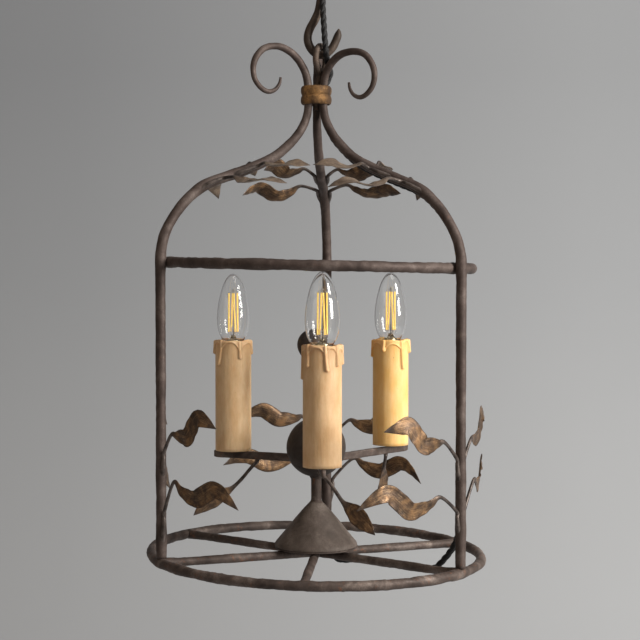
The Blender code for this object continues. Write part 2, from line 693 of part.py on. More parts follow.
def leaf_side(angle, side, root, stem, length, heights, tilt, inward):
    """Stations of one leaf, from its root beside the upright to its tip.
    root is the distance along the upright, stem how far the stem stays beside it, length the leaf's reach
    round the cage, heights its four heights above the root, tilt how far the blade leans back, and inward how
    far the leaf bends in from the cage's round."""
    offset = UPRIGHT_ROD + STEM_RADIUS + 2 * GAP
    start = along_upright(root)
    stations = []
    for share in (0.12, 0.5, 1.0):
        at = along_upright(root + stem * share)
        turn = math.degrees((offset + 0.002 * share * share) / at.x) * side
        stations.append((on_cage(at.x, angle + turn, at.y), around(1, angle), STEM_RADIUS, STEM_RADIUS))
    leave = along_upright(root + stem)
    for share, which, onward, width in BLADE:
        out = share * length
        turn = math.degrees(out / leave.x) * side
        height = heights[which] + (heights[NEXT_HEIGHT[which]] - heights[which]) * onward
        face = around(math.cos(math.radians(tilt)), angle + turn, math.sin(math.radians(tilt)))
        half = max(LEAF_WIDTH / 2 * width, 0.0004)
        thick = STEM_RADIUS if share < 0.3 else max(LEAF_THICKNESS / 2, 0.0003)
        radius = leave.x - inward * min(1.0, share / 0.7)
        stations.append((on_cage(radius, angle + turn, start.y + height), face, half, min(thick, half)))
    return stations


def leaf_pair(name, angle, root, stem, tilt, ahead, behind, inward=(0.0, 0.0)):
    """Two leaves forged as one V: down one stem, round the upright's outer face and up the other.
    ahead is the leaf towards larger angles, behind the one towards smaller: (reach, peak, dip, hump, tip)."""
    sides = []
    for side, (length, *levels), bent in ((1, ahead, inward[0]), (-1, behind, inward[1])):
        heights = dict(zip(("peak", "dip", "hump", "tip"), levels))
        sides.append(leaf_side(angle, side, root, stem, length, heights, tilt, bent))
    low = along_upright(root)
    near = along_upright(root + 0.002)
    way = Vector((near.x - low.x, near.y - low.y)).normalized()
    offset = UPRIGHT_ROD + STEM_RADIUS + 3 * GAP
    saddle = []
    for turn in (60, 30, 0, -30, -60):
        a = math.radians(turn)
        outward = offset * math.cos(a)
        radius = low.x + way.y * outward
        height = low.y - way.x * outward
        sideways = around(offset * math.sin(a), angle + 90)
        middle = on_cage(radius, angle, height) + sideways
        saddle.append((middle, on_cage(1, angle, 0) + sideways * 100, STEM_RADIUS, STEM_RADIUS))
    return loft(name, sides[0][::-1] + saddle + sides[1], "gilt_iron")


def make_leaves():
    """Four pairs on each upright: two low down and two on its shoulder."""
    foot = UPRIGHT[0].y
    lower = {
        # root height, leaf towards larger angles, leaf towards smaller angles
        "left": [
            (0.025, (0.117, 0.060, 0.0480, 0.059, 0.0425), (0.112, 0.050, 0.038, 0.052, 0.034)),
            (0.090, (0.092, 0.041, 0.041, 0.061, 0.053), (0.092, 0.040, 0.036, 0.050, 0.040)),
        ],
        "right": [
            (0.043, (0.108, 0.046, 0.040, 0.058, 0.050), (0.130, 0.036, 0.0255, 0.043, 0.028)),
            (0.095, (0.092, 0.036, 0.036, 0.057, 0.060), (0.102, 0.0365, 0.0355, 0.055, 0.050)),
        ],
        "back": [
            (0.030, (0.125, 0.048, 0.041, 0.051, 0.042), (0.117, 0.049, 0.037, 0.047, 0.027)),
            (0.083, (0.100, 0.042, 0.040, 0.050, 0.042), (0.098, 0.040, 0.034, 0.047, 0.038)),
        ],
    }
    shoulder = {
        # radius of the root on the dome, leaf towards larger angles, leaf towards smaller angles
        "left": [
            (0.128, (0.090, 0.0105, 0.0055, 0.0075, 0.0035), (0.070, 0.013, 0.004, 0.004, -0.008)),
            (0.092, (0.072, 0.0115, 0.0085, 0.0105, 0.0085), (0.058, 0.013, 0.007, 0.008, 0.002)),
        ],
        "right": [
            (0.128, (0.070, 0.0140, 0.0050, 0.0050, -0.006), (0.092, 0.0120, 0.0035, 0.0075, 0.0005)),
            (0.092, (0.058, 0.0160, 0.0110, 0.0110, 0.005), (0.071, 0.0125, 0.0080, 0.0115, 0.0090)),
        ],
        "back": [
            (0.134, (0.098, 0.0160, 0.0035, 0.0120, 0.0030), (0.100, 0.0180, 0.0080, 0.0120, 0.0080)),
            (0.096, (0.070, 0.0150, 0.0090, 0.0170, 0.0110), (0.068, 0.0150, 0.0080, 0.0120, 0.0080)),
        ],
    }
    for place, angle in UPRIGHT_ANGLES.items():
        for i, (height, ahead, behind) in enumerate(lower[place], 1):
            stem = LOW_STEM * min(ahead[1], behind[1])
            name = f"leaves_{place}_low_{i}"
            leaf_pair(name, angle, height - foot, stem, 0.0, ahead, behind, BENT_IN[place])
        for i, (radius, ahead, behind) in enumerate(shoulder[place], 1):
            root = distance_at(radius)
            leaf_pair(f"leaves_{place}_high_{i}", angle, root, HIGH_STEM, HIGH_TILT[place], ahead, behind)


# an arm's leaf: distance out along the arm, sideways, height, share of the full width
ARM_LEAF = [
    (0.0700, 0.0000, 0.0920, 0.20), (0.0715, 0.0040, 0.0890, 0.20), (0.0750, 0.0095, 0.0830, 0.20),
    (0.0800, 0.0150, 0.0750, 0.21), (0.0870, 0.0210, 0.0665, 0.25), (0.0930, 0.0270, 0.0610, 0.60),
    (0.1000, 0.0330, 0.0560, 0.98), (0.1070, 0.0390, 0.0505, 0.90), (0.1140, 0.0450, 0.0440, 0.55),
    (0.1190, 0.0500, 0.0385, 0.04),
]
ARM_LEAF_RIGHT = [
    (0.0915, 0.0000, 0.0920, 0.20), (0.0925, 0.0020, 0.0890, 0.20), (0.0935, 0.0045, 0.0840, 0.20),
    (0.0945, 0.0070, 0.0790, 0.24), (0.0960, 0.0100, 0.0735, 0.50), (0.0985, 0.0140, 0.0670, 0.80),
    (0.1010, 0.0180, 0.0600, 1.00), (0.1035, 0.0215, 0.0530, 0.90), (0.1060, 0.0250, 0.0455, 0.55),
    (0.1085, 0.0285, 0.0385, 0.04),
]
# which way each arm's leaf faces: outward along the arm, and to the arm's side towards smaller angles
ARM_LEAF_FACE = {"front": (0.75, 0.6), "left": (0.75, 0.6), "right": (0.1, 0.95)}


def make_arm_leaf(place, angle):
    """A single leaf on a curved stem under an arm."""
    stations = []
    leaf = ARM_LEAF_RIGHT if place == "right" else ARM_LEAF
    out, _, root, _ = leaf[0]
    drop = ARM_TOP + rise_at(place, out) - ARM_DEPTH - 2 * GAP - STEM_RADIUS - root
    outward, aside_share = ARM_LEAF_FACE[place]
    for out, aside, height, width in leaf:
        middle = around(out, angle, height + drop) + around(aside, angle + 90)
        face = around(outward, angle, 0.2) + around(aside_share, angle - 90)
        half = max(LEAF_WIDTH / 2 * width, 0.0004)
        thick = STEM_RADIUS if width < 0.3 else LEAF_THICKNESS / 2
        stations.append((middle, face, half, min(thick, half)))
    return loft("arm_leaf_" + place, stations, "gilt_iron")


# ---- flex ----
FLEX_SPLIT = Vector((0.0067, -0.0083, 0.577))


def make_flex():
    """The twisted flex: two free lengths from the gland to the collar and the length that the cage holds."""
    high = CEILING - ROSE_HEIGHT - 2 * GAP - GLAND_LENGTH
    upper = [
        (GLAND_PLACE.x, GLAND_PLACE.y, high), (0.0214, -0.0102, high - 0.010), (0.0185, -0.0106, high - 0.024),
        (0.0137, -0.0105, high - 0.038), (0.0096, -0.0097, high - 0.052), (0.0070, -0.0087, 0.5890),
        tuple(FLEX_SPLIT),
    ]
    lower = [
        tuple(FLEX_SPLIT - Vector((0, 0, 2 * GAP))), (0.0070, -0.0087, 0.5650), (0.0079, -0.0091, 0.5500),
        (0.0089, -0.0093, 0.5350), (0.0099, -0.0090, 0.5240), (0.0107, -0.0074, 0.5165),
        (0.0121, -0.0038, 0.5100), (0.0141, 0.0000, 0.5045), (0.0146, 0.0028, 0.4990),
        (0.0122, 0.0038, 0.4930), (0.0092, 0.0040, 0.4872),
    ]
    rod("flex_upper", smooth(upper, 2), FLEX_RADIUS, "flex_cover")
    rod("flex_lower", smooth(lower, 2), FLEX_RADIUS, "flex_cover")
    rod("flex_run", smooth(flex_run(), 2), FLEX_RADIUS, "flex_cover")


# where the cage holds the flex: its first points, in the collar, and its last, up through the base plate
FLEX_HEAD = [
    (0.0086, 0.0038, 0.4862), (0.0073, 0.0035, 0.4790), (0.0069, 0.0031, 0.4700), (0.0072, 0.0026, 0.4590),
]
FLEX_TAIL = [
    (0.0345, -0.0140, -0.0050), (0.0255, -0.0077, -0.0060), (0.0208, -0.0043, -0.0045),
    (0.0173, -0.0019, -0.0003), (0.0160, -0.0011, 0.0055), (0.0158, -0.0011, 0.0120), (0.0150, -0.0010, 0.0180),
    (0.0115, -0.0008, 0.0270), (0.0055, -0.0004, 0.0350), (0.0012, -0.0001, 0.0420), (0.0001, 0.0, 0.0510),
    (0.0, 0.0, 0.0600),
]
# and where it leaves the upright's foot and follows the base bar: inward from the cage's round, height
FLEX_FOOT = [
    (0.0062, 0.0390), (0.0098, 0.0288), (0.0140, 0.0212), (0.0190, 0.0146), (0.0245, 0.0083), (0.0300, 0.0028),
    (0.0358, -0.0006), (0.0430, -0.0018), (0.0560, -0.0018), (0.0720, -0.0017), (0.0900, -0.0017),
    (0.1080, -0.0017), (0.1240, -0.0017),
]
FLEX_CLEAR = 0.0092         # between the middle lines of the flex and of the upright that it follows
FLEX_BESIDE_BAR = 0.0077
FLEX_TURN = 35.0            # how far round from the upright's side towards its underside
FLEX_AT_RING = 13.0         # the same where it passes outside the upper ring


def beside_upright(distance, turn):
    """A point beside the right-hand upright: turn is 0 on its side towards larger angles, 90 underneath."""
    angle = UPRIGHT_ANGLES["right"]
    before, at, beyond = (along_upright(distance + step) for step in (-0.003, 0.0, 0.003))
    way = (on_cage(beyond.x, angle, beyond.y) - on_cage(before.x, angle, before.y)).normalized()
    side = around(1, angle + 90)
    a = math.radians(turn)
    return on_cage(at.x, angle, at.y) + (side * math.cos(a) + way.cross(side) * math.sin(a)) * FLEX_CLEAR


def flex_run():
    """Through the collar, behind the right-hand upright, beside the base bar and up into the column."""
    high = distance_at(NECK_RADIUS + 0.0106)
    low = UPPER_RING_HEIGHT - 0.045
    steps = 21
    beside = []
    for i in range(steps + 1):
        distance = high + (low - high) * i / steps
        near = math.exp(-((along_upright(distance).y - UPPER_RING_HEIGHT) / 0.022) ** 2)
        beside.append(beside_upright(distance, FLEX_TURN + (FLEX_AT_RING - FLEX_TURN) * near))
    beside += [beside_upright(low * share, FLEX_TURN) for share in (0.9, 0.75, 0.6, 0.45, 0.3, 0.22, 0.17)]
    angle = UPRIGHT_ANGLES["right"]
    aside = around(FLEX_BESIDE_BAR, angle + 90)
    foot = [on_cage(CAGE_RADIUS - inward, angle, height) + aside for inward, height in FLEX_FOOT]
    return [*FLEX_HEAD, *beside, *foot, *FLEX_TAIL]


# what stays still, and what turns on the ceiling hook; all else hangs from the S-hook
CEILING_PIECES = ("ceiling_plate", "ceiling_cup", "ceiling_hook", "cord_gland", "flex_upper")


def hang_cage():
    """Hangs the cage and all that it carries from an empty on the axis that it swings about."""
    pivot = bpy.data.objects.new("cage_swing", None)
    pivot.location = pivot_lower()
    PARTS.objects.link(pivot)
    for thing in [*PARTS.objects, *CUTTERS.objects]:
        if thing == pivot or thing.name == "s_hook" or thing.name in CEILING_PIECES:
            continue
        thing.parent = pivot
        thing.matrix_parent_inverse = Matrix.Translation(-pivot_lower())


def move_to_ceiling():
    """Puts the origin at the middle of the ceiling plate's upper face."""
    shift = Vector((-EYE_OFFSET, 0.0, -CEILING))
    for thing in [*PARTS.objects, *CUTTERS.objects]:
        if thing.parent is None:
            thing.location = thing.location + shift


make_rose()
make_ceiling_hook()
make_gland()
make_s_hook()
make_eye()
make_collar()
make_uprights()
make_rings()
make_base_bars()
make_base()
make_column()
for arm_place, arm_angle in ARM_ANGLES.items():
    make_arm(arm_place, arm_angle)
    make_candle(arm_place, arm_angle)
    make_arm_leaf(arm_place, arm_angle)
make_leaves()
make_flex()
hang_cage()
move_to_ceiling()
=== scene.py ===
"""Looks of the hanging lantern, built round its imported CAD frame.

Metres, +Z up. The row's origin is the middle of the ceiling plate's upper face. Pieces are drawn about the
cage's own axis, with height 0 at the middle of the base ring, and mesh_of() moves them to the CAD's place.
"""

import math

import bmesh
import bpy
import numpy as np
from mathutils import Matrix, Vector, noise


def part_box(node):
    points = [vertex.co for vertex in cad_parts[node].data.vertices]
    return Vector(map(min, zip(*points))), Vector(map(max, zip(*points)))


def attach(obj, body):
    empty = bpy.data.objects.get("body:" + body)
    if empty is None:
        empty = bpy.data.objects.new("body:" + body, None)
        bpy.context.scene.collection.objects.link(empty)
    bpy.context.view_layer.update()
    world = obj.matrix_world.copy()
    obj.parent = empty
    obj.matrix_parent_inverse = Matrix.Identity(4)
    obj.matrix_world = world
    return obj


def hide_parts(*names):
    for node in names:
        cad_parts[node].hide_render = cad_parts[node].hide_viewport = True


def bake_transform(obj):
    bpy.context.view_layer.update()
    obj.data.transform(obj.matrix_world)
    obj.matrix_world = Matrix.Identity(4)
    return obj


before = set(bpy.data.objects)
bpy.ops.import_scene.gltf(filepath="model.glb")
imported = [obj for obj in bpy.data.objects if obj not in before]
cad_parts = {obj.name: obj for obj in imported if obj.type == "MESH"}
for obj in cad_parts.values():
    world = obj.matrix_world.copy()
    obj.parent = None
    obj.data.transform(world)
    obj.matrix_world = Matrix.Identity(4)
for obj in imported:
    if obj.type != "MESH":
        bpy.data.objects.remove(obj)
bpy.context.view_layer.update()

# ---- sizes that the CAD has, in metres and degrees ----
GAP = 0.0003
CAGE_RADIUS = 0.172
UPPER_RING_HEIGHT = 0.301
SHOULDER_HEIGHT = 0.176
RING_SLOPE = 0.0215
UPRIGHT_ANGLES = {"left": 206.0, "right": 326.0, "back": 86.0}
UPRIGHT_ROD = 0.0051
BASE_RING_ROD = 0.0050
UPPER_RING_ROD = 0.0052
BASE_BAR_ROD = 0.0044
NECK_ROD = 0.0043
NECK_RADIUS = 0.0090
COLLAR_WALL = 0.0024
COLLAR_HEIGHT = 0.019
EYE_ROD = 0.00325
EYE_HALF_WIDTH = 0.0125
EYE_HALF_HEIGHT = 0.0137
EYE_OFFSET = 0.0047
EYE_TURN = 66.0
HOOK_ROD = 0.0040
HOOK_SWELL = 0.0003
HOOK_LENGTH = 0.1134
HOOK_BOTTOM = 0.51905
CEILING_HOOK_BOTTOM = 0.62415
CEILING = 0.69815
ROSE_RADIUS = 0.038
ROSE_HEIGHT = 0.028
ROSE_WALL = 0.0015
PLATE_THICKNESS = 0.003
FLEX_RADIUS = 0.0028
CONE_RADIUS = 0.0435
CONE_BOTTOM = 0.0080
CONE_TOP = 0.0535
CONE_WALL = 0.0013
BASE_PLATE_THICKNESS = 0.0015
COLUMN_RADIUS = 0.0054
COLUMN_BOTTOM = 0.0445
BALL_HEIGHT = 0.111
BALL_RADIUS = 0.031
FINIAL_HEIGHT = 0.218
FINIAL_RADIUS = 0.0168
FINIAL_LEAN = 1.6
ARM_ANGLES = {"front": 273.7, "left": 155.0, "right": 35.0}
ARM_RISE = {"front": 0.0, "left": 0.0, "right": 0.0045}    # of its far end
CANDLE_RADIUS = 0.098
ARM_TOP = 0.1027
ARM_DEPTH = 0.0084
ARM_THICKNESS = 0.0046
SLEEVE_HEIGHT = {"front": 0.1210, "left": 0.1190, "right": 0.1147}
SLEEVE_OUTER = 0.0192
SLEEVE_BORE = 0.0180
HOLDER_RADIUS = 0.0135
HOLDER_HEIGHT = {"front": 0.1172, "left": 0.1142, "right": 0.1113}
BULB_RADIUS = 0.0175
BULB_LENGTH = 0.0745
CAP_RADIUS = 0.0070
CAP_LENGTH = 0.0255
GLASS_WALL = 0.0008
STICK_CIRCLE = 0.0052
STICK_RADIUS = 0.0009
STICK_TURN = 20.0
LEAF_THICKNESS = 0.0014
LEAF_WIDTH = 0.0185
STEM_RADIUS = 0.0018
GLAND_PLACE = (0.0222, -0.0100)
GLAND_LENGTH = 0.022
BUSH_OUTER = 0.0050
ARM_START = BALL_RADIUS + GAP
ARM_END = CANDLE_RADIUS + SLEEVE_OUTER + 0.0035
COLLAR_MIDDLE = UPPER_RING_HEIGHT + SHOULDER_HEIGHT
EYE_MIDDLE = COLLAR_MIDDLE + 0.0373

collar_low, collar_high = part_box("collar")
COLLAR_PLACE = (collar_low + collar_high) / 2
SHIFT = Vector((COLLAR_PLACE.x, COLLAR_PLACE.y, COLLAR_PLACE.z - COLLAR_MIDDLE))


# ---- lines and meshes ----
def through(points, spans):
    """A smooth curve through the given points, with that many steps between each two."""
    line = np.array([tuple(p) for p in points], float)
    line = np.vstack([2 * line[0] - line[1], line, 2 * line[-1] - line[-2]])
    found = []
    for a, b, c, d in zip(line, line[1:], line[2:], line[3:]):
        for t in np.arange(spans) / spans:
            found.append(0.5 * (2 * b + (c - a) * t + (2 * a - 5 * b + 4 * c - d) * t ** 2
                                + (3 * b - a - 3 * c + d) * t ** 3))
    found.append(line[-2])
    return np.array(found)


def spaced(line, step):
    """The same line with its points about step apart; columns after the third are read along it."""
    gaps = np.linalg.norm(np.diff(line[:, :3], axis=0), axis=1)
    along = np.concatenate([[0.0], np.cumsum(gaps)])
    count = max(3, round(along[-1] / step) + 1)
    at = np.linspace(0, along[-1], count)
    return np.column_stack([np.interp(at, along, line[:, k]) for k in range(line.shape[1])])


def length_of(line):
    """The length of a line."""
    return float(np.linalg.norm(np.diff(line[:, :3], axis=0), axis=1).sum())


def directions(line, closed=False):
    """For each point the way along, and two directions across that turn as little as they can."""
    if closed:
        way = np.roll(line, -1, axis=0) - np.roll(line, 1, axis=0)
    else:
        way = np.gradient(line, axis=0)
    way /= np.linalg.norm(way, axis=1)[:, None]
    if closed:
        up = np.tile([0.0, 0.0, 1.0], (len(line), 1))
        up -= way * (up * way).sum(1)[:, None]
        up /= np.linalg.norm(up, axis=1)[:, None]
    else:
        seed = np.array([0.0, 0.0, 1.0]) if abs(way[0][2]) < 0.8 else np.array([0.0, -1.0, 0.0])
        up = np.zeros_like(way)
        last = seed
        for i, w in enumerate(way):
            last = last - w * last.dot(w)
            last = last / np.linalg.norm(last)
            up[i] = last
    return way, up, np.cross(way, up)


def mesh_of(name, points, faces, sharp=None):
    """A smooth-shaded mesh of points about the cage's axis, moved to its place in the row's frame."""
    mesh = bpy.data.meshes.new(name)
    points = np.asarray(points, float).reshape(-1, 3) + np.array(SHIFT)
    mesh.from_pydata(points.tolist(), [], faces)
    mesh.validate()
    mesh.shade_smooth()
    if sharp:
        mesh.set_sharp_from_angle(angle=math.radians(sharp))
    return mesh


def ring_faces(rows, count, start=0, loop=False, caps=True):
    """Faces between rows of count points each; loop joins the last row to the first, caps close the ends."""
    faces = []
    for i in range(rows if loop else rows - 1):
        a = start + i * count
        b = start + ((i + 1) % rows) * count
        for k in range(count):
            n = (k + 1) % count
            faces.append((a + k, a + n, b + n, b + k))
    if caps and not loop:
        faces.append(tuple(range(start, start + count))[::-1])
        last = start + (rows - 1) * count
        faces.append(tuple(range(last, last + count)))
    return faces


def swept(line, sides, radius, turn=0.0):
    """Points round a line: radius may differ from side to side, and turn from point to point of the line."""
    _, up, across = directions(line)
    a = np.reshape(turn, (-1, 1, 1)) + (math.tau * np.arange(sides) / sides)[:, None]
    out = up[:, None] * np.cos(a) + across[:, None] * np.sin(a)
    return (line[:, None] + out * np.reshape(radius, (-1, 1))).reshape(-1, 3)


def add_numbers(mesh, name, values):
    """Stores one number, or three, for each point, which a material reads."""
    values = np.asarray(values, np.float32)
    kind, field = ("FLOAT", "value") if values.ndim == 1 else ("FLOAT_VECTOR", "vector")
    mesh.attributes.new(name, kind, "POINT").data.foreach_set(field, values.ravel())


def show(piece, mesh, material, body, nodes=None):
    """Makes the piece, rides it on its body and hides the CAD node that its mesh is named after, or nodes."""
    made = bpy.data.objects.new(piece, mesh)
    bpy.context.scene.collection.objects.link(made)
    mesh.materials.append(material)
    if body:
        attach(made, body)
    nodes = [mesh.name.split(".")[0]] if nodes is None else nodes
    if nodes:
        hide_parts(*nodes)
    return made


def raised(height):
    """The way up to that height."""
    return Vector((0.0, 0.0, height))


def around(radius, angle, height=0.0):
    """A point at that radius and angle round the axis."""
    a = math.radians(angle)
    return Vector((radius * math.cos(a), radius * math.sin(a), height))


def on_cage(radius, angle, height):
    """The same, on the cage, whose rings and uprights run down towards +X."""
    point = around(radius, angle, height)
    point.z -= RING_SLOPE * point.x
    return point


# ---- the upright's line ----
DOME = [
    (1.000, 0.008), (0.993, 0.083), (0.962, 0.180), (0.880, 0.301), (0.779, 0.398), (0.675, 0.460),
    (0.537, 0.507), (0.396, 0.557), (0.253, 0.619), (0.158, 0.684), (0.063, 0.778), (0.008, 0.885),
    (0.000, 1.000),
]
SCROLL = [
    (0.0003, 0.010, 0.0041), (0.0030, 0.022, 0.0040), (0.0095, 0.033, 0.0039), (0.0185, 0.0415, 0.0038),
    (0.0290, 0.0465, 0.0037), (0.0395, 0.0473, 0.0036), (0.0510, 0.0435, 0.0034), (0.0595, 0.0335, 0.0032),
    (0.0623, 0.0225, 0.0030), (0.0600, 0.0115, 0.0028), (0.0530, 0.0035, 0.0026), (0.0453, 0.0005, 0.0024),
    (0.0378, 0.0030, 0.0021), (0.0328, 0.0095, 0.0017), (0.0315, 0.0160, 0.0013),
]
SCROLL_DROP = {"left": 0.0, "right": 0.0045, "back": 0.0}   # how much lower each scroll hangs


def upright_line():
    """The upright's middle line as (radius, height, bar radius), foot to scroll tip."""
    foot = BASE_RING_ROD + GAP
    line = [(CAGE_RADIUS, foot, UPRIGHT_ROD), (CAGE_RADIUS, UPPER_RING_HEIGHT * 0.9, UPRIGHT_ROD)]
    for out, up in DOME:
        thin = min(1.0, 1.4 * max(0.0, (up - 0.55) / 0.45))
        radius = NECK_RADIUS + out * (CAGE_RADIUS - NECK_RADIUS)
        thick = UPRIGHT_ROD + (NECK_ROD - UPRIGHT_ROD) * thin
        line.append((radius, UPPER_RING_HEIGHT + up * SHOULDER_HEIGHT, thick))
    line += [(NECK_RADIUS + out, COLLAR_MIDDLE + up, thick) for out, up, thick in SCROLL]
    return np.vstack([line[:1], through(line[1:], 6)])


UPRIGHT = upright_line()
UPRIGHT_GONE = np.concatenate([[0.0], np.cumsum(np.linalg.norm(np.diff(UPRIGHT[:, :2], axis=0), axis=1))])


def along_upright(distance):
    """The upright's middle line at that distance from its foot: radius and height."""
    distance = max(distance, 0.0)
    return tuple(float(np.interp(distance, UPRIGHT_GONE, UPRIGHT[:, k])) for k in (0, 1))


def distance_at(radius):
    """How far along the upright its dome comes in to that radius."""
    for i in range(len(UPRIGHT) - 1):
        a, b = UPRIGHT[i, 0], UPRIGHT[i + 1, 0]
        if a >= radius > b:
            return float(UPRIGHT_GONE[i] + (UPRIGHT_GONE[i + 1] - UPRIGHT_GONE[i]) * (a - radius) / (a - b))
    raise ValueError("the dome has no such radius")


# ---- materials ----
class Shader:
    """A Principled material and the nodes that feed it."""

    def __init__(self, name, **values):
        self.material = bpy.data.materials.new(name)
        self.material.use_nodes = True
        self.tree = self.material.node_tree
        self.main = self.tree.nodes["Principled BSDF"]
        for socket, value in values.items():
            self.main.inputs[socket.replace("_", " ")].default_value = value

    def add(self, kind, inputs=None, **settings):
        """A node with its settings, and its inputs set to a value or linked to another node's output."""
        node = self.tree.nodes.new("ShaderNode" + kind)
        for key, value in settings.items():
            setattr(node, key, value)
        for key, value in (inputs or {}).items():
            self.feed(node.inputs[key], value)
        return node

    def feed(self, socket, value):
        """Links an output to a socket, or sets the socket to a value."""
        if isinstance(value, bpy.types.NodeSocket):
            self.tree.links.new(value, socket)
        else:
            socket.default_value = value

    def place(self, scale=(1.0, 1.0, 1.0)):
        """The piece's own coordinates, in metres, stretched by scale."""
        coordinates = self.add("TexCoord").outputs["Object"]
        return self.add("Mapping", {"Vector": coordinates, "Scale": scale}).outputs["Vector"]

    def number(self, name):
        """A number that the mesh carries."""
        return self.add("Attribute", attribute_name=name).outputs["Fac"]

    def noise(self, vector, scale, detail=4.0, roughness=0.55, distortion=0.0):
        """A noise value from 0 to 1."""
        inputs = {"Vector": vector, "Scale": scale, "Detail": detail, "Roughness": roughness,
                  "Distortion": distortion}
        return self.add("TexNoise", inputs).outputs["Fac"]

    def ramp(self, value, *stops):
        """A colour for each value; stops are (value, colour)."""
        made = self.add("ValToRGB", {"Fac": value})
        band = made.color_ramp
        while len(band.elements) < len(stops):
            band.elements.new(0.5)
        for element, (at, colour) in zip(band.elements, stops):
            element.position = at
            element.color = (*colour, 1.0)
        return made.outputs["Color"]

    def fit(self, value, low, high, to_low=0.0, to_high=1.0):
        """Value read from low..high to another range."""
        made = self.add("MapRange", {0: value, 1: low, 2: high, 3: to_low, 4: to_high})
        return made.outputs[0]

    def maths(self, operation, a, b):
        """Two values added, multiplied and so on."""
        return self.add("Math", {0: a, 1: b}, operation=operation, use_clamp=True).outputs[0]

    def mix(self, share, a, b, blend="MIX"):
        """Colours a and b mixed by share."""
        made = self.add("Mix", data_type="RGBA", blend_type=blend)
        self.feed(made.inputs[0], share)
        self.feed(made.inputs[6], a if isinstance(a, bpy.types.NodeSocket) else (*a, 1.0))
        self.feed(made.inputs[7], b if isinstance(b, bpy.types.NodeSocket) else (*b, 1.0))
        return made.outputs[2]

    def finish(self, colour, roughness, *bumps):
        """Feeds the Principled shader; bumps are (height, strength, distance in metres)."""
        self.feed(self.main.inputs["Base Color"], colour)
        self.feed(self.main.inputs["Roughness"], roughness)
        normal = None
        for height, strength, distance in bumps:
            bump = self.add("Bump", {"Height": height, "Strength": strength, "Distance": distance})
            if normal:
                self.feed(bump.inputs["Normal"], normal)
            normal = bump.outputs["Normal"]
        if normal:
            self.feed(self.main.inputs["Normal"], normal)
        return self.material


def forged_iron(name, dark, middle, worn, rust, metallic=0.35, rusty=0.62):
    """Hand-forged iron: dark in the hollows, rubbed lighter on the high spots, with brown and red traces."""
    s = Shader(name, Metallic=metallic, Specular_IOR_Level=0.35)
    place = s.place()
    broad = s.noise(place, 38.0, 3.0, 0.6, 0.6)
    fine = s.noise(place, 210.0, 6.0, 0.65)
    grit = s.noise(place, 900.0, 4.0, 0.7)
    base = s.ramp(broad, (0.30, dark), (0.52, middle), (0.72, worn))
    ridge = s.fit(s.number("wear"), 0.45, 0.95)
    rubbed = s.maths("MULTIPLY", ridge, s.fit(fine, 0.35, 0.62))
    base = s.mix(s.maths("MULTIPLY", rubbed, 0.85), base, worn)
    red = s.fit(s.noise(place, 75.0, 5.0, 0.7, 1.2), rusty, rusty + 0.12)
    base = s.mix(s.maths("MULTIPLY", red, s.fit(fine, 0.45, 0.65, 0.0, 0.8)), base, rust)
    base = s.mix(s.fit(grit, 0.35, 0.62, 0.55, 0.0), base, dark)
    rough = s.fit(fine, 0.3, 0.7, 0.52, 0.74)
    return s.finish(base, rough, (fine, 0.35, 0.0008), (grit, 0.25, 0.0003))


def leaf_bronze(name, dark, middle, light, scratched):
    """Rubbed bronze gilding on sheet iron: fine scratches along the leaf, dark edges, iron on the stem."""
    s = Shader(name, Metallic=0.55, Specular_IOR_Level=0.5)
    place = s.place()
    leaf = s.add("Attribute", attribute_name="leaf_place").outputs["Vector"]
    along = s.add("Mapping", {"Vector": leaf, "Scale": (70.0, 2100.0, 1.0)}).outputs["Vector"]
    scratch = s.noise(along, 1.0, 5.0, 0.7)
    blotch = s.noise(place, 95.0, 5.0, 0.62, 0.5)
    colour = s.ramp(blotch, (0.32, dark), (0.50, middle), (0.68, light))
    bright = s.maths("MULTIPLY", s.fit(scratch, 0.52, 0.72), s.fit(blotch, 0.30, 0.60, 0.25, 1.0))
    colour = s.mix(s.maths("MULTIPLY", bright, 0.85), colour, scratched)
    dim = s.maths("MULTIPLY", s.fit(scratch, 0.48, 0.30), 0.75)
    colour = s.mix(dim, colour, (0.055, 0.036, 0.026))
    edge = s.fit(s.number("edge"), 0.86, 1.0)
    colour = s.mix(s.maths("MULTIPLY", edge, 0.75), colour, (0.045, 0.032, 0.026))
    stem = s.ramp(s.noise(place, 160.0, 5.0), (0.35, (0.040, 0.030, 0.026)), (0.65, (0.120, 0.096, 0.084)))
    colour = s.mix(s.number("blade"), stem, colour)
    rough = s.fit(scratch, 0.3, 0.7, 0.50, 0.36)
    return s.finish(colour, rough, (scratch, 0.4, 0.0004), (blotch, 0.3, 0.0010))


def candle_wax(name, light, deep, stain_and_shade):
    """Old cream wax: faint upright grain, a few dark specks, and brown that is partly wax aged under the
    drips and partly painted shade beside each drip, under the run's edge and in the bore.
    """
    s = Shader(name, Subsurface_Weight=0.25, Subsurface_Scale=0.004, Subsurface_Radius=(1.0, 0.62, 0.40),
               Specular_IOR_Level=0.35)
    grain = s.noise(s.place((540.0, 540.0, 70.0)), 1.0, 6.0, 0.7)
    cloud = s.noise(s.place((75.0, 75.0, 38.0)), 1.0, 4.0, 0.6)
    speck = s.noise(s.place((520.0, 520.0, 260.0)), 1.0, 2.0, 0.5)
    colour = s.mix(s.fit(cloud, 0.35, 0.68), light, deep)
    colour = s.mix(s.fit(grain, 0.48, 0.68, 0.0, 0.60), colour, deep)
    # Brown from the sleeve's stored number: aged wax under the drips, and painted shade beside them, under
    # the run's edge and in the bore.
    colour = s.mix(s.maths("MULTIPLY", s.number("stain_and_shade"), s.fit(cloud, 0.2, 0.6, 0.75, 0.35)), colour, stain_and_shade)
    colour = s.mix(s.fit(speck, 0.735, 0.775, 0.0, 0.6), colour, (0.22, 0.13, 0.06))
    return s.finish(colour, s.fit(grain, 0.3, 0.7, 0.46, 0.60), (grain, 0.55, 0.0005), (cloud, 0.30, 0.0012))


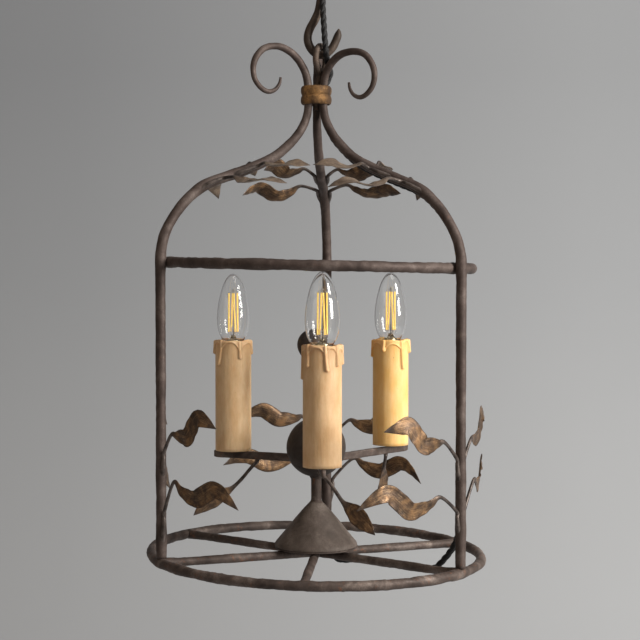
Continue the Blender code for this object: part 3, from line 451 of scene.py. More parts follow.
def plain(name, dark, light, scale, roughness, metallic=0.0, bump=0.15, **values):
    """A surface that varies a little between two colours, with a fine grain."""
    s = Shader(name, Metallic=metallic, **values)
    place = s.place()
    soft = s.noise(place, scale, 5.0, 0.6)
    grit = s.noise(place, scale * 9.0, 3.0, 0.6)
    colour = s.mix(s.fit(soft, 0.35, 0.65), dark, light)
    return s.finish(colour, s.fit(soft, 0.3, 0.7, roughness + 0.06, roughness - 0.06), (grit, bump, 0.0002))


def braided_flex(name):
    """Black cotton braid over the twisted cores."""
    s = Shader(name, Specular_IOR_Level=0.30)
    thread = s.add("Attribute", attribute_name="flex_place").outputs["Vector"]
    turn = s.add("Mapping", {"Vector": thread, "Rotation": (0.0, 0.0, 0.75)}).outputs["Vector"]
    waves = [s.add("TexWave", {"Vector": turn, "Scale": 420.0, "Distortion": 0.6}, bands_direction=way)
             for way in "XY"]
    weave = s.maths("MULTIPLY", *(wave.outputs["Fac"] for wave in waves))
    dust = s.noise(s.place(), 300.0, 4.0)
    colour = s.mix(weave, (0.0040, 0.0040, 0.0045), (0.020, 0.020, 0.021))
    colour = s.mix(s.fit(dust, 0.55, 0.75, 0.0, 0.20), colour, (0.045, 0.042, 0.040))
    return s.finish(colour, s.fit(weave, 0.0, 1.0, 0.62, 0.42), (weave, 0.5, 0.0003))


IRON = forged_iron("forged_iron", (0.036, 0.025, 0.021), (0.078, 0.055, 0.047), (0.150, 0.118, 0.104),
                   (0.17, 0.070, 0.036))
BASE_IRON = forged_iron("forged_iron_base", (0.034, 0.024, 0.020), (0.090, 0.066, 0.056),
                        (0.225, 0.180, 0.156), (0.26, 0.10, 0.045), rusty=0.55)
HOOK_IRON = forged_iron("forged_iron_hook", (0.034, 0.024, 0.018), (0.078, 0.056, 0.043),
                        (0.165, 0.118, 0.090), (0.17, 0.085, 0.045), rusty=0.55)
BALL_IRON = forged_iron("forged_iron_ball", (0.026, 0.019, 0.016), (0.050, 0.038, 0.032),
                        (0.092, 0.072, 0.062), (0.12, 0.06, 0.035), rusty=0.64)
CONE_IRON = forged_iron("forged_iron_cone", (0.056, 0.042, 0.034), (0.130, 0.102, 0.086),
                        (0.215, 0.178, 0.154), (0.20, 0.11, 0.07), metallic=0.15, rusty=0.64)
GILT = forged_iron("rubbed_gilt", (0.045, 0.028, 0.019), (0.135, 0.075, 0.036), (0.52, 0.285, 0.105),
                   (0.055, 0.036, 0.027), metallic=0.6, rusty=0.50)
BRONZE = leaf_bronze("leaf_bronze", (0.030, 0.018, 0.012), (0.085, 0.046, 0.024), (0.25, 0.135, 0.058),
                     (0.62, 0.42, 0.23))
# A paler, greyer copy of the bronze for leaves that face well up: painted light from above.
TOP_LIT_BRONZE = leaf_bronze("leaf_bronze_pale", (0.110, 0.078, 0.056), (0.20, 0.145, 0.105),
                          (0.31, 0.225, 0.155), (0.52, 0.43, 0.33))
# Three tones of one old wax, set candle by candle to how lit each sleeve looks: painted light, lightest and
# yellowest on the right-hand candle, which the key light falls on most.
WAX_TONED_TO_LIGHT = {
    "left": candle_wax("wax_left_toned_to_light", (0.74, 0.515, 0.300), (0.60, 0.375, 0.190), (0.36, 0.180, 0.065)),
    "front": candle_wax("wax_front_toned_to_light", (0.66, 0.445, 0.255), (0.54, 0.330, 0.160), (0.33, 0.160, 0.060)),
    "right": candle_wax("wax_right_toned_to_light", (0.90, 0.565, 0.245), (0.84, 0.470, 0.150), (0.62, 0.310, 0.080)),
}
BLACK = plain("black_moulding", (0.012, 0.012, 0.013), (0.030, 0.030, 0.032), 120.0, 0.42)
BRASS = plain("cap_brass", (0.46, 0.38, 0.24), (0.62, 0.53, 0.36), 160.0, 0.30, metallic=1.0, bump=0.05)
WIRE = plain("lead_wire", (0.42, 0.40, 0.38), (0.60, 0.58, 0.55), 400.0, 0.30, metallic=1.0, bump=0.05)
# The sticks' emission is painted light: a faint glow that makes them brighter.
PAINTED_GLOW_FILAMENT = plain("filament_stick", (0.98, 0.62, 0.07), (1.0, 0.78, 0.20), 500.0, 0.40,
                 Emission_Color=(1.0, 0.62, 0.16, 1.0), Emission_Strength=0.55)
FLEX = braided_flex("braided_flex")


def clear_glass(name, tint, ior=1.46):
    """Blown glass, clear, with the faintest unevenness in its surface."""
    s = Shader(name, Transmission_Weight=1.0, IOR=ior, Roughness=0.0, Base_Color=(*tint, 1.0))
    seeds = s.noise(s.place(), 30.0, 1.0)
    s.feed(s.main.inputs["Roughness"], s.fit(seeds, 0.4, 0.8, 0.02, 0.03))
    return s.material


GLASS = clear_glass("bulb_glass", (1.0, 1.0, 1.0))


# ---- camera ----
CAMERA_DISTANCE = 1.62      # from the lantern's axis
CAMERA_ASIDE = 0.0040
CAMERA_TILT = 2.016         # degrees below level
LENS = 87.4                 # millimetres, as is the sensor
SENSOR = 36.0
camera_data = bpy.data.cameras.new("camera")
camera_data.lens = LENS
camera_data.sensor_width = SENSOR
camera_data.clip_start = 0.05
camera_data.clip_end = 50.0
camera = bpy.data.objects.new("camera", camera_data)
bpy.context.scene.collection.objects.link(camera)
camera.location = (SHIFT.x + CAMERA_ASIDE, -CAMERA_DISTANCE, SHIFT.z + UPPER_RING_HEIGHT)
camera.rotation_euler = (math.radians(90.0 - CAMERA_TILT), 0.0, 0.0)
bpy.context.scene.camera = camera

# ---- cords: the route's points are the CAD's, about the cage's axis ----
FLEX_SPLIT = (0.0067, -0.0083, 0.577)
FLEX_TOP = CEILING - ROSE_HEIGHT - 2 * GAP - GLAND_LENGTH
FLEX_UPPER = [
    (*GLAND_PLACE, FLEX_TOP), (0.0214, -0.0102, FLEX_TOP - 0.010), (0.0185, -0.0106, FLEX_TOP - 0.024),
    (0.0137, -0.0105, FLEX_TOP - 0.038), (0.0096, -0.0097, FLEX_TOP - 0.052), (0.0070, -0.0087, 0.5890),
    FLEX_SPLIT,
]
FLEX_LOWER = [
    (FLEX_SPLIT[0], FLEX_SPLIT[1], FLEX_SPLIT[2] - 2 * GAP), (0.0070, -0.0087, 0.5650),
    (0.0079, -0.0091, 0.5500), (0.0089, -0.0093, 0.5350), (0.0099, -0.0090, 0.5240),
    (0.0107, -0.0074, 0.5165), (0.0121, -0.0038, 0.5100), (0.0141, 0.0000, 0.5045),
    (0.0146, 0.0028, 0.4990), (0.0122, 0.0038, 0.4930), (0.0092, 0.0040, 0.4872),
]
# where the cage holds the flex: its first points, in the collar, and its last, up through the base plate
FLEX_HEAD = [
    (0.0086, 0.0038, 0.4862), (0.0073, 0.0035, 0.4790), (0.0069, 0.0031, 0.4700), (0.0072, 0.0026, 0.4590),
]
FLEX_TAIL = [
    (0.0345, -0.0140, -0.0050), (0.0255, -0.0077, -0.0060), (0.0208, -0.0043, -0.0045),
    (0.0173, -0.0019, -0.0003), (0.0160, -0.0011, 0.0055), (0.0158, -0.0011, 0.0120),
    (0.0150, -0.0010, 0.0180), (0.0115, -0.0008, 0.0270), (0.0055, -0.0004, 0.0350),
    (0.0012, -0.0001, 0.0420), (0.0001, 0.0, 0.0510), (0.0, 0.0, 0.0600),
]
# and where it leaves the upright's foot and follows the base bar: inward from the cage's round, height
FLEX_FOOT = [
    (0.0062, 0.0390), (0.0098, 0.0288), (0.0140, 0.0212), (0.0190, 0.0146), (0.0245, 0.0083),
    (0.0300, 0.0028), (0.0358, -0.0006), (0.0430, -0.0018), (0.0560, -0.0018), (0.0720, -0.0017),
    (0.0900, -0.0017), (0.1080, -0.0017), (0.1240, -0.0017),
]
FLEX_CLEAR = 0.0092         # between the middle lines of the flex and of the upright that it follows
FLEX_BESIDE_BAR = 0.0077
FLEX_TURN = 35.0            # how far round from the upright's side towards its underside
FLEX_AT_RING = 13.0         # the same where it passes outside the upper ring
FLEX_PITCH = 0.0250         # one whole turn of the twisted cores
FLEX_SIDES = 24
flex_turned = 0.0           # how far the twist has come, so that each length takes up where the last one ends


def beside_upright(distance, turn):
    """A point beside the right-hand upright: turn is 0 on its side towards larger angles, 90 underneath."""
    angle = UPRIGHT_ANGLES["right"]
    before, at, beyond = (along_upright(distance + step) for step in (-0.003, 0.0, 0.003))
    way = (on_cage(beyond[0], angle, beyond[1]) - on_cage(before[0], angle, before[1])).normalized()
    side = around(1, angle + 90)
    a = math.radians(turn)
    return on_cage(at[0], angle, at[1]) + (side * math.cos(a) + way.cross(side) * math.sin(a)) * FLEX_CLEAR


def flex_run():
    """Through the collar, behind the right-hand upright, beside the base bar and up into the column."""
    high = distance_at(NECK_RADIUS + 0.0106)
    low = UPPER_RING_HEIGHT - 0.045
    steps = 21
    beside = []
    for i in range(steps + 1):
        distance = high + (low - high) * i / steps
        near = math.exp(-((along_upright(distance)[1] - UPPER_RING_HEIGHT) / 0.022) ** 2)
        beside.append(beside_upright(distance, FLEX_TURN + (FLEX_AT_RING - FLEX_TURN) * near))
    beside += [beside_upright(low * share, FLEX_TURN) for share in (0.9, 0.75, 0.6, 0.45, 0.3, 0.22, 0.17)]
    angle = UPRIGHT_ANGLES["right"]
    aside = around(FLEX_BESIDE_BAR, angle + 90)
    foot = [on_cage(CAGE_RADIUS - inward, angle, height) + aside for inward, height in FLEX_FOOT]
    return [*FLEX_HEAD, *(tuple(p) for p in beside + foot), *FLEX_TAIL]


def twisted_flex(name, route):
    """Three braided cores twisted together, as one skin round them."""
    global flex_turned
    line = spaced(through(route, 8), 0.0011)
    gone = np.arange(len(line)) * length_of(line) / (len(line) - 1)
    turn = flex_turned + gone / FLEX_PITCH * math.tau
    flex_turned = turn[-1]
    a = math.tau * np.arange(FLEX_SIDES) / FLEX_SIDES
    lobes = FLEX_RADIUS * (0.76 + 0.40 * np.abs(np.cos(1.5 * a)) ** 0.7)
    mesh = mesh_of(name, swept(line, FLEX_SIDES, lobes, turn), ring_faces(len(line), FLEX_SIDES))
    add_numbers(mesh, "flex_place", [(g, side * FLEX_RADIUS, 0.0) for g in gone for side in a])
    return mesh, line + np.array(SHIFT)


upper_mesh, upper_path = twisted_flex("twisted_flex_upper", FLEX_UPPER)
upper = show("twisted_flex_upper", upper_mesh, FLEX, None, ["flex_upper"])
lower_mesh, lower_path = twisted_flex("twisted_flex_lower", FLEX_LOWER)
lower = show("twisted_flex_lower", lower_mesh, FLEX, None, ["flex_lower"])
run_mesh, run_path = twisted_flex("twisted_flex_run", flex_run())
show("twisted_flex_run", run_mesh, FLEX, "cage", ["flex_run"])
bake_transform(upper)
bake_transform(lower)


# ---- forged bars ----
def beaten(at, marks, swells, seed=0.0):
    """How much a hammer has flattened that point, from 0 to 1, and how the surface swells round it."""
    near = noise.voronoi(at * marks + Vector((seed, 0.0, 0.0)))[0]
    return min(near[1] - near[0], 0.6) / 0.6, noise.noise(at * swells + Vector((0.0, seed, 0.0)))


def hammered(name, line, sides=18, closed=False, dents=(0.00035, 150.0), bulges=(), seed=0.0, square=0.0):
    """A hammered bar along a line of (x, y, z, radius): dents is (depth, marks to the metre), bulges are
    (place, reach, height) where something is welded on, and square makes the section less than round."""
    _, up, across = directions(line[:, :3], closed)
    depth, marks = dents
    points = []
    wear = []
    for (*middle, radius), u, v in zip(line, up, across):
        for k in range(sides):
            a = math.tau * k / sides
            out = Vector(u * math.cos(a) + v * math.sin(a))
            at = Vector(middle) + out * radius
            facet, slow = beaten(at, marks, marks * 0.35, seed)
            dent = depth * min(radius / 0.004, 1.0) * (slow * 0.9 - facet * 0.75 + 0.3)
            weld = sum(h * math.exp(-((at - p).length / reach) ** 2) for p, reach, h in bulges)
            shape = 1.0 - square * math.sin(2 * a) ** 2 * 0.5
            points.append(Vector(middle) + out * (radius * shape + dent + weld))
            wear.append(0.55 - facet * 0.45 + slow * 0.35)
    mesh = mesh_of(name, points, ring_faces(len(line), sides, loop=closed))
    add_numbers(mesh, "wear", wear)
    return mesh


# ---- leaves ----
# root height, leaf towards larger angles, leaf towards smaller angles: reach, peak, dip, hump, tip
LOW_LEAVES = {
    "left": [
        (0.025, (0.117, 0.060, 0.0480, 0.059, 0.0425), (0.112, 0.050, 0.038, 0.052, 0.034)),
        (0.090, (0.092, 0.041, 0.041, 0.061, 0.053), (0.092, 0.040, 0.036, 0.050, 0.040)),
    ],
    "right": [
        (0.043, (0.108, 0.046, 0.040, 0.058, 0.050), (0.130, 0.036, 0.0255, 0.043, 0.028)),
        (0.095, (0.092, 0.036, 0.036, 0.057, 0.060), (0.102, 0.0365, 0.0355, 0.055, 0.050)),
    ],
    "back": [
        (0.030, (0.125, 0.048, 0.041, 0.051, 0.042), (0.117, 0.049, 0.037, 0.047, 0.027)),
        (0.083, (0.100, 0.042, 0.040, 0.050, 0.042), (0.098, 0.040, 0.034, 0.047, 0.038)),
    ],
}
# radius of the root on the dome, and the same
HIGH_LEAVES = {
    "left": [
        (0.128, (0.090, 0.0105, 0.0055, 0.0075, 0.0035), (0.070, 0.013, 0.004, 0.004, -0.008)),
        (0.092, (0.072, 0.0115, 0.0085, 0.0105, 0.0085), (0.058, 0.013, 0.007, 0.008, 0.002)),
    ],
    "right": [
        (0.128, (0.070, 0.0140, 0.0050, 0.0050, -0.006), (0.092, 0.0120, 0.0035, 0.0075, 0.0005)),
        (0.092, (0.058, 0.0160, 0.0110, 0.0110, 0.005), (0.071, 0.0125, 0.0080, 0.0115, 0.0090)),
    ],
    "back": [
        (0.134, (0.098, 0.0160, 0.0035, 0.0120, 0.0030), (0.100, 0.0180, 0.0080, 0.0120, 0.0080)),
        (0.096, (0.070, 0.0150, 0.0090, 0.0170, 0.0110), (0.068, 0.0150, 0.0080, 0.0120, 0.0080)),
    ],
}
BLADE = [
    (0.26, "peak", 0.0, 0.20), (0.36, "peak", 0.5, 0.50), (0.46, "peak", 0.9, 0.84), (0.56, "dip", 0.0, 0.98),
    (0.65, "dip", 0.5, 1.00), (0.74, "hump", 0.0, 0.96), (0.82, "hump", 0.1, 0.80), (0.91, "hump", 0.5, 0.46),
    (1.00, "tip", 0.0, 0.03),
]
NEXT_HEIGHT = {"peak": "dip", "dip": "hump", "hump": "tip", "tip": "tip"}
LOW_STEM = 0.55
HIGH_STEM = 0.024
HIGH_TILT = {"left": 70.0, "right": 70.0, "back": 42.0}
BENT_IN = {"left": (0.0, 0.014), "right": (0.0, 0.0), "back": (0.0, 0.0)}
# how the stem grows out of the upright: share of its length, share of the way out to its side, radius
STEM_ROOT = [
    (-0.45, 0.10, 0.0028), (0.0, 0.50, 0.0027), (0.35, 0.86, 0.0024), (0.70, 1.00, 0.0021),
    (1.0, 1.18, 0.0019),
]
LEAF_STEP = 0.0019
LEAF_SECTION = 16


def leaf_side(angle, side, root, stem, leaf, tilt, phase, inward):
    """One leaf's middle line, with at each point: way it faces, half width, half thickness, blade share."""
    length, *levels = leaf
    heights = dict(zip(("peak", "dip", "hump", "tip"), levels))
    beside = UPRIGHT_ROD + STEM_RADIUS
    stations = []
    for share, out, thick in STEM_ROOT:
        radius, height = along_upright(root + stem * share)
        turn = math.degrees(beside * out / radius) * side
        stations.append((*on_cage(radius, angle + turn, height), *around(1, angle), thick, thick, 0.0))
    leave = along_upright(root + stem)[0]
    start = along_upright(root)[1]
    for share, which, onward, width in BLADE:
        turn = math.degrees(share * length / leave) * side
        height = heights[which] + (heights[NEXT_HEIGHT[which]] - heights[which]) * onward
        wave = 13.0 * math.sin(share * 8.0 + phase)
        lean = math.radians(tilt + wave * (share > 0.3))
        face = around(math.cos(lean), angle + turn, math.sin(lean))
        bow = 0.0012 * math.sin(share * 7.5 + phase) - inward * min(1.0, share / 0.7)
        half = LEAF_WIDTH / 2 * width
        thick = 0.0016 if share < 0.3 else LEAF_THICKNESS / 2
        stations.append((*on_cage(leave + bow, angle + turn, start + height), *face, half, min(thick, half),
                         min(1.0, max(0.0, (width - 0.22) / 0.3))))
    return stations


def leaf_mesh(name, sides):
    """Leaves on their stems: round where they are stem, and where they are blade a thin sheet with a curled
    section, a low midrib and slightly wavy edges."""
    points = []
    faces = []
    edge = []
    blade = []
    places = []
    for n, stations in enumerate(sides):
        line = spaced(through(stations, 7), LEAF_STEP)
        middle = line[:, :3]
        way = np.gradient(middle, axis=0)
        way /= np.linalg.norm(way, axis=1)[:, None]
        start = len(points)
        for i in range(len(line)):
            face = line[i, 3:6] - way[i] * line[i, 3:6].dot(way[i])
            face /= np.linalg.norm(face)
            across = np.cross(way[i], face)
            half = max(line[i, 6], 0.0003)
            thick = max(min(line[i, 7], half), 0.00025)
            flat = min(1.0, max(0.0, line[i, 8]))
            gone = i * LEAF_STEP
            for k in range(LEAF_SECTION):
                a = math.tau * k / LEAF_SECTION
                aside = math.cos(a)
                curl = flat * half * 0.16 * (aside * aside - 0.4)
                rib = flat * 0.0006 * math.exp(-(aside / 0.22) ** 2)
                outer = aside > 0
                ripple = flat * 0.0004 * math.sin(gone * 520.0 + n * 2.0 + outer * 1.7) * abs(aside) ** 3
                lift = math.sin(a) * thick + curl + rib + ripple
                uneven = 1.0 + flat * 0.02 * math.sin(gone * 260.0 + n + outer * 2.1)
                points.append(middle[i] + across * (aside * half * uneven) + face * lift)
                edge.append(abs(aside) * flat)
                blade.append(flat)
                places.append((gone, aside * half, float(n)))
        faces += ring_faces(len(line), LEAF_SECTION, start)
    mesh = mesh_of(name, points, faces)
    add_numbers(mesh, "edge", edge)
    add_numbers(mesh, "blade", blade)
    add_numbers(mesh, "leaf_place", places)
    return mesh


def scroll_drop(place, radius, height):
    """How much lower that point of an upright is than on the others: nothing below the scroll."""
    if height < COLLAR_MIDDLE:
        return 0.0
    return SCROLL_DROP[place] * min(1.0, max(0.0, (radius - NECK_RADIUS - 0.003) / 0.030))


def make_uprights():
    """The three uprights with their leaves."""
    foot = float(UPRIGHT[0, 1])
    for number, (place, angle) in enumerate(UPRIGHT_ANGLES.items()):
        roots = []
        for i, (height, ahead, behind) in enumerate(LOW_LEAVES[place], 1):
            stem = LOW_STEM * min(ahead[1], behind[1])
            roots.append((f"low_{i}", height - foot, stem, 0.0, ahead, behind, BENT_IN[place]))
        for i, (radius, ahead, behind) in enumerate(HIGH_LEAVES[place], 1):
            root = distance_at(radius)
            roots.append((f"high_{i}", root, HIGH_STEM, HIGH_TILT[place], ahead, behind, (0.0, 0.0)))
        bulges = []
        for n, (level, root, stem, tilt, ahead, behind, inward) in enumerate(roots):
            sides = [
                leaf_side(angle, 1, root, stem, ahead, tilt, n * 1.3, inward[0]),
                leaf_side(angle, -1, root, stem, behind, tilt, n * 1.3 + 1.0, inward[1]),
            ]
            name = f"leaves_{place}_{level}"
            # Leaves tilted well up take the paler copy: painted light from above.
            skin = TOP_LIT_BRONZE if tilt > 50.0 else BRONZE
            show("forged_" + name, leaf_mesh(name, sides), skin, "cage")
            radius, height = along_upright(root)
            bulges.append((on_cage(radius, angle, height), 0.011, 0.0007))
        ring = UPPER_RING_HEIGHT
        bulges.append((on_cage(CAGE_RADIUS - UPRIGHT_ROD - 0.001, angle, ring), 0.0085, 0.0011))
        line = [(*on_cage(r, angle, z - scroll_drop(place, r, z)), thick) for r, z, thick in UPRIGHT]
        mesh = hammered("upright_" + place, spaced(np.array(line), 0.0026), 20, dents=(0.00040, 105.0),
                        bulges=bulges, seed=3.1 * number)
        show("forged_upright_" + place, mesh, IRON, "cage")


def make_rings():
    """The two rings, closed, and the bars across the lower one."""
    count = 420
    inner = CAGE_RADIUS - UPRIGHT_ROD - UPPER_RING_ROD - GAP
    for name, radius, height, thick, material in (
        ("base_ring", CAGE_RADIUS, 0.0, BASE_RING_ROD, BASE_IRON),
        ("upper_ring", inner, UPPER_RING_HEIGHT, UPPER_RING_ROD, IRON),
    ):
        line = np.array([(*on_cage(radius, 360.0 * i / count, height), thick) for i in range(count)])
        bulges = [(on_cage(radius, a, height), 0.009, 0.0009) for a in UPRIGHT_ANGLES.values()]
        mesh = hammered(name, line, 20, closed=True, dents=(0.00085, 84.0), bulges=bulges, seed=radius * 90)
        show("forged_" + name, mesh, material, "cage")
    end = CAGE_RADIUS - BASE_RING_ROD * 0.4
    across = UPRIGHT_ANGLES["back"]
    bars = {
        "through": (-end, across),
        "left": (0.004, UPRIGHT_ANGLES["left"]),
        "right": (0.004, UPRIGHT_ANGLES["right"]),
        "back_left": (0.004, UPRIGHT_ANGLES["right"] - 180),
        "back_right": (0.004, UPRIGHT_ANGLES["left"] - 180),
    }
    for place, (start, angle) in bars.items():
        ends = np.array([(*on_cage(start, angle, 0), BASE_BAR_ROD), (*on_cage(end, angle, 0), BASE_BAR_ROD)])
        weld = (on_cage(end, angle, 0), 0.010, 0.0012)
        mesh = hammered("base_bar_" + place, spaced(ends, 0.0028), 18, dents=(0.00055, 105.0), bulges=[weld],
                        seed=angle)
        show("forged_base_bar_" + place, mesh, BASE_IRON, "cage")


# ---- eye and hooks ----
HOOK_HALF = [
    (-0.0022, 0.0450, 1.0), (-0.0067, 0.0347, 1.0), (-0.0107, 0.0277, 1.0), (-0.0131, 0.0207, 1.0),
    (-0.0132, 0.0140, 1.0), (-0.0105, 0.0073, 1.0), (-0.0060, 0.0021, 1.0), (0.0, 0.0, 1.0),
    (0.0068, 0.0021, 1.0), (0.0125, 0.0080, 1.0), (0.0166, 0.0164, 1.0), (0.0183, 0.0222, 0.78),
    (0.0188, 0.0268, 0.16),
]


def make_hooks():
    """The hanging eye, the S-hook and the ceiling hook."""
    side = around(1.0, EYE_TURN)
    middle = Vector((EYE_OFFSET, 0.0, EYE_MIDDLE))
    points = [
        raised(COLLAR_MIDDLE - COLLAR_HEIGHT * 0.8), Vector((0.0003, 0.0, COLLAR_MIDDLE)),
        Vector((0.0016, 0.0, COLLAR_MIDDLE + COLLAR_HEIGHT * 0.6)),
        middle - side * 0.0012 - raised(EYE_HALF_HEIGHT + 0.0028),
    ]
    for angle in range(228, -110, -20):
        a = math.radians(angle)
        points.append(middle + side * (EYE_HALF_WIDTH * math.cos(a)) + raised(EYE_HALF_HEIGHT * math.sin(a)))
    line = spaced(through([(*p, EYE_ROD) for p in points], 8), 0.0014)
    weld = (middle - raised(EYE_HALF_HEIGHT + 0.004), 0.005, 0.0006)
    mesh = hammered("hanging_eye", line, 18, dents=(0.00022, 190.0), bulges=[weld], seed=5.0)
    show("forged_eye", mesh, HOOK_IRON, "cage")

    half = HOOK_LENGTH / 2
    centre = Vector((EYE_OFFSET, 0.0, HOOK_BOTTOM + half))
    below = [(x, z - half, share) for x, z, share in HOOK_HALF]
    above = [(-x, -z, share) for x, z, share in reversed(below)]
    line = through(above + [(0.0, 0.0, 1.0)] + below, 8)
    thick = HOOK_ROD + HOOK_SWELL
    line = np.array([(centre.x + x, 0.0, centre.z + z, thick * min(1.0, share)) for x, z, share in line])
    mesh = hammered("s_hook", spaced(line, 0.0014), 20, dents=(0.00025, 170.0), seed=8.0, square=0.10)
    show("forged_s_hook", mesh, HOOK_IRON, "hook")

    low = CEILING_HOOK_BOTTOM
    bend = [
        (-0.0140, low + 0.0200), (-0.0118, low + 0.0092), (-0.0068, low + 0.0022), (0.0, low),
        (0.0068, low + 0.0024), (0.0116, low + 0.0092), (0.0118, low + 0.0188), (0.0078, low + 0.0280),
        (0.0024, low + 0.0350), (0.0, low + 0.0430), (0.0, CEILING - PLATE_THICKNESS - GAP),
    ]
    share = [0.45, 0.8, 1.0] + [1.0] * (len(bend) - 3)
    line = through([(EYE_OFFSET, y, z, HOOK_ROD * k) for (y, z), k in zip(bend, share)], 8)
    mesh = hammered("ceiling_hook", spaced(line, 0.0016), 18, dents=(0.00022, 170.0), seed=11.0)
    show("forged_ceiling_hook", mesh, HOOK_IRON, "ceiling")


# ---- turned and pressed pieces ----
def turned(name, profile, steps=64, place=(0.0, 0.0, 0.0), uneven=0.0, marks=120.0, sharp=40.0, lean=None):
    """A piece turned about the Z axis at place; profile is (radius, height) round its whole section, or from
    axis to axis. uneven is how far hammer marks move its surface."""
    rows = np.array(profile, float)
    on_axis = rows[0, 0] < 1e-7 and rows[-1, 0] < 1e-7
    points = []
    wear = []
    skin = rows[1:-1] if on_axis else rows
    for r, z in skin:
        for k in range(steps):
            a = math.tau * k / steps
            out = Vector((math.cos(a), math.sin(a), 0.0))
            at = out * r + raised(z)
            facet, slow = beaten(at + Vector(place), marks, marks * 0.4)
            points.append(at + out * (uneven * (slow - facet * 0.5)))
            wear.append(0.5 - facet * 0.35 + slow * 0.4)
    count = len(skin)
    faces = ring_faces(count, steps, loop=not on_axis, caps=False)
    if on_axis:
        points += [raised(rows[0, 1]), raised(rows[-1, 1])]
        wear += [0.5, 0.5]
        top = count * steps
        base = top - steps
        for k in range(steps):
            n = (k + 1) % steps
            faces += [(top, n, k), (top + 1, base + k, base + n)]
    move = Matrix.Translation(Vector(place)) @ (lean or Matrix.Identity(4))
    mesh = mesh_of(name, [move @ p for p in points], faces, sharp)
    flip_outward(mesh)
    add_numbers(mesh, "wear", wear)
    return mesh


def flip_outward(mesh):
    """Turns the faces so that their normals point out of the solid."""
    shape = bmesh.new()
    shape.from_mesh(mesh)
    bmesh.ops.recalc_face_normals(shape, faces=shape.faces)
    shape.to_mesh(mesh)
    shape.free()


def make_rose():
    """The ceiling plate, cup and gland."""
    place = (EYE_OFFSET, 0.0, 0.0)
    edge = 0.0008
    plate = ROSE_RADIUS - ROSE_WALL - GAP
    low = CEILING - PLATE_THICKNESS
    profile = [(0.0, CEILING), (plate - edge, CEILING), (plate, CEILING - edge), (plate, low), (0.0, low)]
    show("turned_plate", turned("ceiling_plate", profile, place=place), IRON, "ceiling")
    low = CEILING - ROSE_HEIGHT
    hole = HOOK_ROD + GAP
    inside = ROSE_RADIUS - ROSE_WALL
    outside = through([
        (ROSE_RADIUS, CEILING), (ROSE_RADIUS, low + 0.016), (ROSE_RADIUS, low + 0.010),
        (ROSE_RADIUS - 0.002, low + 0.0045), (ROSE_RADIUS - 0.006, low + 0.001), (ROSE_RADIUS - 0.010, low),
        (0.016, low), (hole, low),
    ], 4)
    profile = [(inside, CEILING), *outside, (hole, low + ROSE_WALL), (inside - 0.009, low + ROSE_WALL),
               (inside - 0.005, low + 0.0035), (inside - 0.001, low + 0.0070), (inside, low + 0.012)]
    mesh = turned("ceiling_cup", profile, 96, place, uneven=0.00025, marks=70.0)
    show("pressed_cup", mesh, IRON, "ceiling")
    top = CEILING - ROSE_HEIGHT - GAP
    profile = [(0.0, top), (0.0072, top), (0.0072, top - 0.004)]
    for i in range(9):
        z = top - 0.0052 - i * 0.0018
        r = 0.0060 - i * 0.00022
        profile += [(r, z), (r, z - 0.0009), (r - 0.0007, z - 0.0011), (r - 0.0007, z - 0.0016)]
    low = top - GLAND_LENGTH
    profile += [(0.0040, low + 0.0004), (0.0036, low), (0.0, low)]
    mesh = turned("cord_gland", profile, 40, (*GLAND_PLACE, 0.0))
    show("ribbed_gland", mesh, BLACK, "ceiling")


def make_collar():
    """Two rounded bands, gilded and rubbed."""
    bore = NECK_RADIUS + NECK_ROD + GAP
    outer = bore + COLLAR_WALL
    half = COLLAR_HEIGHT / 2
    outside = through([
        (bore + 0.0004, half), (outer - 0.0014, half - 0.0001), (outer - 0.0003, half - 0.0017),
        (outer, half * 0.52), (outer - 0.0004, half * 0.2), (outer - 0.0012, 0.0),
        (outer - 0.0004, -half * 0.2), (outer, -half * 0.52), (outer - 0.0003, 0.0017 - half),
        (outer - 0.0014, 0.0001 - half), (bore + 0.0004, -half),
    ], 4)
    profile = [(bore, half - 0.0005), *outside, (bore, 0.0005 - half)]
    mesh = turned("collar", profile, 88, (0.0, 0.0, COLLAR_MIDDLE), uneven=0.00038, marks=170.0)
    show("banded_collar", mesh, GILT, "cage")


